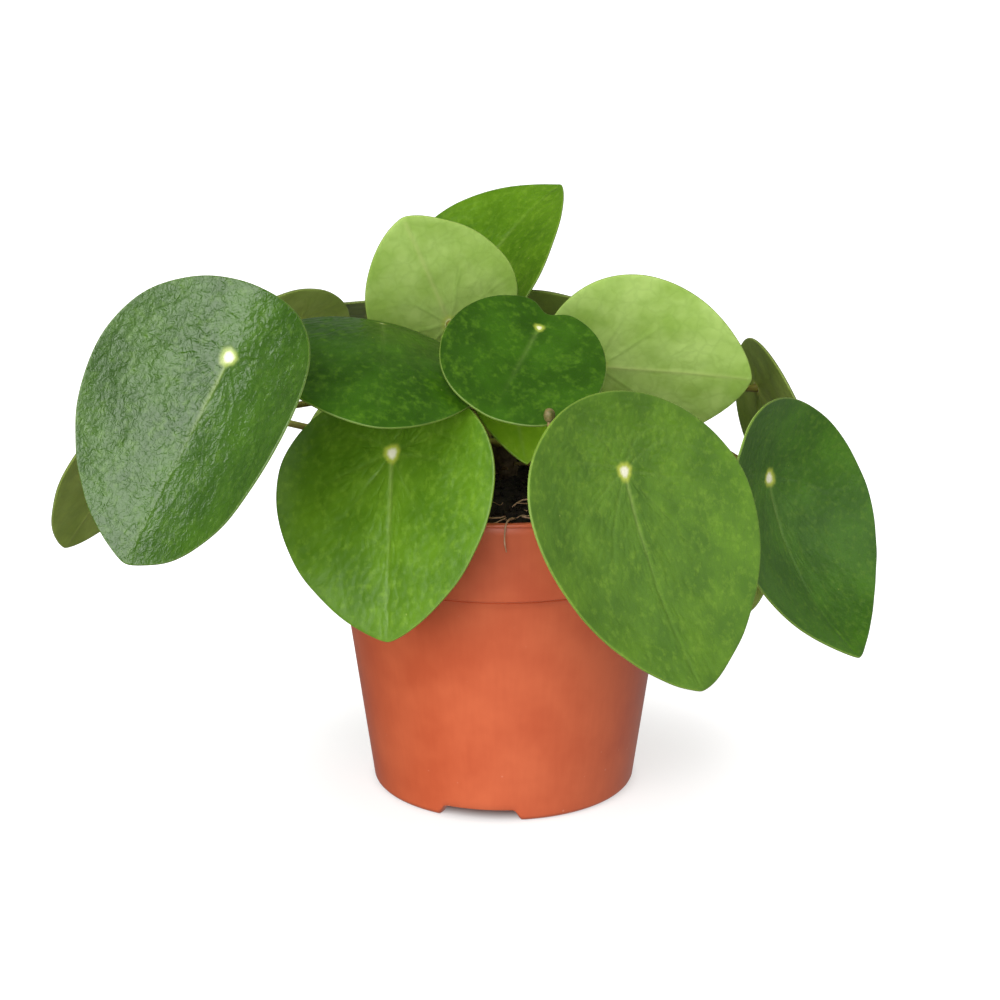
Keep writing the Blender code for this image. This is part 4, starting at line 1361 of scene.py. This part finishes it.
@dataclass
class Compost:
    """Peat compost: a lumpy fill, loose crumbs on it, and bared root ends."""

    edge_height: float = 106.5
    crown: float = 2.0
    gap: float = 0.3
    sides: int = 220
    rings: int = 60
    crumbs: int = 620
    strands: int = 90
    root_radius: float = 0.36

    def surface_height(self, radius: np.ndarray) -> np.ndarray:
        """Height of the even top at a radius: flat in the middle, falling to the edge."""
        return self.edge_height + self.crown * (1.0 - smoothstep(34.0, 57.5, radius))

    def fill(self, axis: np.ndarray, pot: Pot, peat: bpy.types.Material) -> bpy.types.Object:
        """The body of compost: lumpy top, sides against the wall, flat underneath.

        Args:
            axis: Place of the pot's axis in mm.
            pot: The pot that holds it.
            peat: Its material.

        Returns:
            The piece.
        """
        chance = np.random.default_rng(11)
        edge = pot.inner_radius(self.edge_height) - self.gap
        step = pot.height - pot.band_height
        floor_top = pot.floor_lift + pot.floor_thickness
        radius = np.linspace(0.4, edge, self.rings)[::-1]
        walls = np.array([(pot.inner_radius(level) - self.gap, level)
                          for level in (floor_top + 2.2, 40.0, step - 1.2, step + 1.2, 98.0)])
        profile = np.concatenate([[(0.4, floor_top + self.gap),
                                   (walls[0][0] - 2.3, floor_top + self.gap)], walls,
                                  np.stack([radius, self.surface_height(radius)], axis=-1)])
        rings = turned(profile, self.sides)
        top = rings[-self.rings:]
        x, y = top[..., 0], top[..., 1]
        inside = smoothstep(0.0, 2.5, edge - np.hypot(x, y))
        lumps = 0.5 * ripple(x, y, 11.0, chance) + 0.35 * ripple(x, y, 4.5, chance)
        lumps = lumps - 0.5 * np.exp(-(cell_walls(x, y, 3.4, chance) / 0.7)**2)
        top[..., 2] += lumps * (0.25 + 0.75 * inside) - 0.3
        surface = Surface()
        surface.add_rings(rings)
        piece = surface.to_object("peat_fill", axis, [peat])
        settle(piece, "peat_compost", "soil")
        return piece

    def loose_crumbs(self, axis: np.ndarray, peat: bpy.types.Material) -> bpy.types.Object:
        """Crumbs of peat strewn over the top, each a small uneven ball of 36 faces.

        Args:
            axis: Place of the pot's axis in mm.
            peat: Their material.

        Returns:
            The piece.
        """
        chance = np.random.default_rng(12)
        turn = np.linspace(0.5, math.pi - 0.5, 5)
        ball = turned(np.stack([np.sin(turn), -np.cos(turn)], axis=-1), 6)
        surface = Surface()
        for _ in range(self.crumbs):
            away = 56.0 * math.sqrt(chance.uniform(0.01, 1.0))
            size = chance.uniform(0.35, 1.3)
            place = bearing_vector(chance.uniform(0.0, 360.0)) * away
            place[2] = float(self.surface_height(np.array(away))) + 0.25 * size
            stretch = size * chance.uniform(0.6, 1.2, 3)
            uneven = 1.0 + 0.22 * chance.standard_normal(ball.shape[:2])
            surface.add_rings(ball * uneven[..., None] * stretch + place)
        piece = surface.to_object("peat_crumbs", axis, [peat])
        settle(piece, "peat_compost")
        return piece

    def fibres(self, axis: np.ndarray, skin: bpy.types.Material) -> bpy.types.Object:
        """Fine tan fibres lying on the compost, thickest along the rim.

        Args:
            axis: Place of the pot's axis in mm.
            skin: Their material.

        Returns:
            The piece.
        """
        chance = np.random.default_rng(13)
        surface = Surface()
        for _ in range(self.strands):
            away = 55.5 - 30.0 * chance.random()**2.2
            bearing = chance.uniform(0.0, 360.0)
            centre = bearing_vector(bearing) * away
            heading = math.radians(chance.normal(bearing, 35.0))
            length = chance.uniform(5.0, 16.0)
            step = np.linspace(-0.5, 0.5, 5)
            side = np.array([math.cos(heading), math.sin(heading), 0.0])
            path = centre + step[:, None] * side * length
            path += chance.normal(0.0, 0.9, path.shape) * [1.0, 1.0, 0.0]
            flat = np.hypot(path[:, 0], path[:, 1])
            path[:, :2] *= np.minimum(1.0, 56.6 / flat)[:, None]
            path[:, 2] = self.surface_height(flat) + chance.uniform(0.1, 1.2, 5)
            thick = chance.uniform(0.1, 0.26)
            smooth = smooth_path(path, 18)
            surface.add_rings(tube(smooth, np.full(18, thick), 6))
        piece = surface.to_object("peat_fibres", axis, [skin])
        settle(piece, "root_skin")
        return piece

    def roots(self, axis: np.ndarray, skin: bpy.types.Material) -> list:
        """The four bared root ends, one of them hanging over the lip.

        Args:
            axis: Place of the pot's axis in mm.
            skin: Their material.

        Returns:
            The pieces.
        """
        routes = {
            "root_over_rim": ((3.5, -51.0, 108.8), (3.0, -55.5, 110.6), (1.8, -58.5, 111.3),
                              (0.6, -61.2, 110.2), (0.2, -61.6, 105.0), (0.8, -61.0, 101.0)),
            "root_left": ((-20.0, -46.0, 108.5), (-11.0, -50.5, 109.2), (-2.0, -50.0, 109.0),
                          (0.5, -47.0, 108.6)),
            "root_right": ((6.0, -48.0, 108.8), (10.0, -52.0, 109.4), (16.0, -50.0, 109.0),
                           (23.0, -45.0, 108.7)),
            "root_back": ((-26.0, 38.0, 108.9), (-12.0, 47.0, 108.9), (4.0, 44.0, 109.0),
                          (15.0, 49.0, 108.6)),
        }
        pieces = []
        for name, route in routes.items():
            path = smooth_path(np.array(route), 60)
            share = np.linspace(0.0, 1.0, 60)
            radii = self.root_radius * (1.0 - 0.45 * share + 0.06 * np.sin(31.0 * share))
            surface = Surface()
            surface.add_rings(tube(path, radii, 12))
            piece = surface.to_object(f"{name}_strand", axis, [skin])
            settle(piece, "root_skin", name)
            pieces.append(piece)
        return pieces

    def build(self, axis: np.ndarray, pot: Pot) -> None:
        """Make the fill, the crumbs, the fibres and the roots.

        Args:
            axis: Place of the pot's axis in mm.
            pot: The pot that holds them.
        """
        # Dark peat made darker still: painted shade, so that the compost between the stalks reads
        # black like deep shadow.
        peat = GrainySkin("peat", "#0B0806", "#2E2117", 3.0, 0.7, 0.5, 0.95).make()
        tan = GrainySkin("root_fibre", "#9A7250", "#DDB694", 6.0, 0.6, 0.1, 0.7).make()
        self.fill(axis, pot, peat)
        self.loose_crumbs(axis, peat)
        self.fibres(axis, tan)
        self.roots(axis, tan)


# ------------------------------------------------------------------ studio

@dataclass(frozen=True)
class SoftBox:
    """One square soft light: its place about the plant, its side and its strength.

    ``mirrored`` tells whether the leaves' shine shows it.
    """

    name: str
    bearing: float
    rise: float
    distance: float
    side: float
    watts: float
    mirrored: bool = True


@dataclass
class Studio:
    """White table, dim surroundings, four soft lights and the camera."""

    floor_side: float = 14.0
    floor_colour: str = "#BCBCBC"
    # The glow is lower near the pot and falls to nothing under its foot: painted contact shadow
    # on the table.
    shadow_ring_glow: float = 0.66
    far_glow: float = 1.02
    foot_shadow_share: float = 0.0
    foot_radius: float = 0.034
    near_radius: float = 0.048
    far_radius: float = 0.16
    surround_low: float = 0.32
    surround_high: float = 0.03
    surround_left: float = 0.28
    camera_distance: float = 1.2
    camera_rise: float = 17.85
    camera_lens: float = 127.62
    camera_sensor: float = 36.0
    target_side: float = -1.26
    target_height: float = 99.0
    lights: tuple = (
        SoftBox("key_light", bearing=-28.0, rise=28.0, distance=1.5, side=1.8, watts=36.0),
        SoftBox("front_light", bearing=18.0, rise=10.0, distance=1.5, side=0.9, watts=4.5),
        SoftBox("back_light", bearing=172.0, rise=56.0, distance=1.5, side=1.1, watts=9.0,
                mirrored=False),
        SoftBox("right_reflector", bearing=78.0, rise=28.0, distance=1.5, side=1.1, watts=3.4),
    )

    def floor(self, axis: np.ndarray) -> bpy.types.Object:
        """The white table: its glow is dimmed round the foot and gone under it, a painted contact
        shadow, and grows out to far_radius.

        Args:
            axis: Place of the pot's axis in mm, which the glow is centred on.

        Returns:
            The table.
        """
        half = self.floor_side / 2.0
        mesh = bpy.data.meshes.new("studio_floor")
        mesh.from_pydata([(-half, -half, 0.0), (half, -half, 0.0), (half, half, 0.0),
                          (-half, half, 0.0)], [], [(0, 1, 2, 3)])
        recipe = Recipe("white_floor")
        place = recipe.add("TexCoord").outputs["Object"]
        offset = recipe.add("VectorMath", {"operation": "SUBTRACT", 1: tuple(axis * MM)},
                            {0: place})
        away = recipe.add("VectorMath", {"operation": "LENGTH"}, {0: offset.outputs["Vector"]})
        away = away.outputs["Value"]
        # Painted contact shadow: a dimmer ring round the foot and no glow under it.
        rise = recipe.span(away, (self.near_radius, self.far_radius),
                           (self.shadow_ring_glow, self.far_glow), "SMOOTHSTEP")
        under = recipe.span(away, (self.foot_radius, self.near_radius),
                            (self.foot_shadow_share, 1.0), "SMOOTHSTEP")
        recipe.finish({"Base Color": linear(self.floor_colour), "Roughness": 0.9,
                       "Specular IOR Level": 0.0, "Emission Color": (1.0, 1.0, 1.0, 1.0)},
                      {"Emission Strength": recipe.calculate("MULTIPLY", rise, under)})
        mesh.materials.append(recipe.material)
        floor = bpy.data.objects.new("studio_floor", mesh)
        bpy.context.scene.collection.objects.link(floor)
        # The glow keeps the table white without lighting the plant from below.
        floor.visible_diffuse = False
        floor.visible_glossy = False
        return floor

    def surroundings(self) -> bpy.types.World:
        """Pale round the horizon and below, dim overhead and to the left."""
        world = bpy.data.worlds.new("pale_surroundings")
        world.use_nodes = True
        tree = world.node_tree
        place = tree.nodes.new("ShaderNodeTexCoord")
        level = tree.nodes.new("ShaderNodeSeparateXYZ")
        share = tree.nodes.new("ShaderNodeMapRange")
        share.inputs["From Min"].default_value = 0.15
        share.inputs["From Max"].default_value = 0.75
        share.inputs["To Min"].default_value = self.surround_low
        share.inputs["To Max"].default_value = self.surround_high
        tree.links.new(place.outputs["Generated"], level.inputs["Vector"])
        tree.links.new(level.outputs["Z"], share.inputs["Value"])
        sideways = tree.nodes.new("ShaderNodeMapRange")
        sideways.inputs["From Min"].default_value = -0.8
        sideways.inputs["From Max"].default_value = 0.0
        sideways.inputs["To Min"].default_value = self.surround_left
        sideways.inputs["To Max"].default_value = 1.0
        tree.links.new(level.outputs["X"], sideways.inputs["Value"])
        strength = tree.nodes.new("ShaderNodeMath")
        strength.operation = "MULTIPLY"
        tree.links.new(share.outputs["Result"], strength.inputs[0])
        tree.links.new(sideways.outputs["Result"], strength.inputs[1])
        background = tree.nodes["Background"]
        background.inputs["Color"].default_value = (1.0, 1.0, 1.0, 1.0)
        tree.links.new(strength.outputs["Value"], background.inputs["Strength"])
        bpy.context.scene.world = world
        return world

    def hang(self, box: SoftBox, target: Vector) -> bpy.types.Object:
        """Hang one soft light so that it faces the plant.

        Args:
            box: The light's measures.
            target: Point that it faces, in metres.

        Returns:
            The light.
        """
        lamp = bpy.data.lights.new(box.name, "AREA")
        lamp.shape = "SQUARE"
        lamp.size = box.side
        lamp.energy = box.watts
        light = bpy.data.objects.new(box.name, lamp)
        bpy.context.scene.collection.objects.link(light)
        away = Vector(bearing_vector(box.bearing, box.rise))
        light.location = target + away * box.distance
        light.rotation_euler = away.to_track_quat("Z", "Y").to_euler()
        light.visible_camera = False
        light.visible_glossy = box.mirrored
        return light

    def build(self, axis: np.ndarray) -> None:
        """Put the table, the surroundings, the lights and the camera in.

        Args:
            axis: Place of the pot's axis in mm.
        """
        scene = bpy.context.scene
        scene.view_settings.view_transform = "Standard"
        target = Vector((axis + [self.target_side, 0.0, self.target_height]) * MM)
        self.floor(axis)
        self.surroundings()
        for box in self.lights:
            self.hang(box, target)
        lens = bpy.data.cameras.new("camera")
        lens.lens = self.camera_lens
        lens.sensor_width = self.camera_sensor
        lens.clip_start = 0.05
        lens.clip_end = 50.0
        camera = bpy.data.objects.new("camera", lens)
        scene.collection.objects.link(camera)
        back = Vector(bearing_vector(0.0, self.camera_rise))
        camera.location = target + back * self.camera_distance
        camera.rotation_euler = (math.radians(90.0 - self.camera_rise), 0.0, 0.0)
        scene.camera = camera


def main() -> None:
    """Build the potted plant and its studio."""
    logging.basicConfig(level=logging.INFO, format="%(name)s %(message)s")
    axis = pot_axis()
    pot, stem = Pot(), Stem()
    pot.build(axis)
    Compost().build(axis, pot)
    stem.build(axis)
    skins = {age: [age.value.upper(), age.value.under()] for age in LeafFinish}
    stalk_skin = StalkSkin().make()
    for number, form in enumerate(LEAVES):
        blade = Blade(form, seed=number + 1)
        blade.build(axis, skins)
        Petiole(form, blade, stem).build(axis, stalk_skin)
    LeafBud().build(axis)
    Studio().build(axis)


if __name__ == "__main__":
    main()
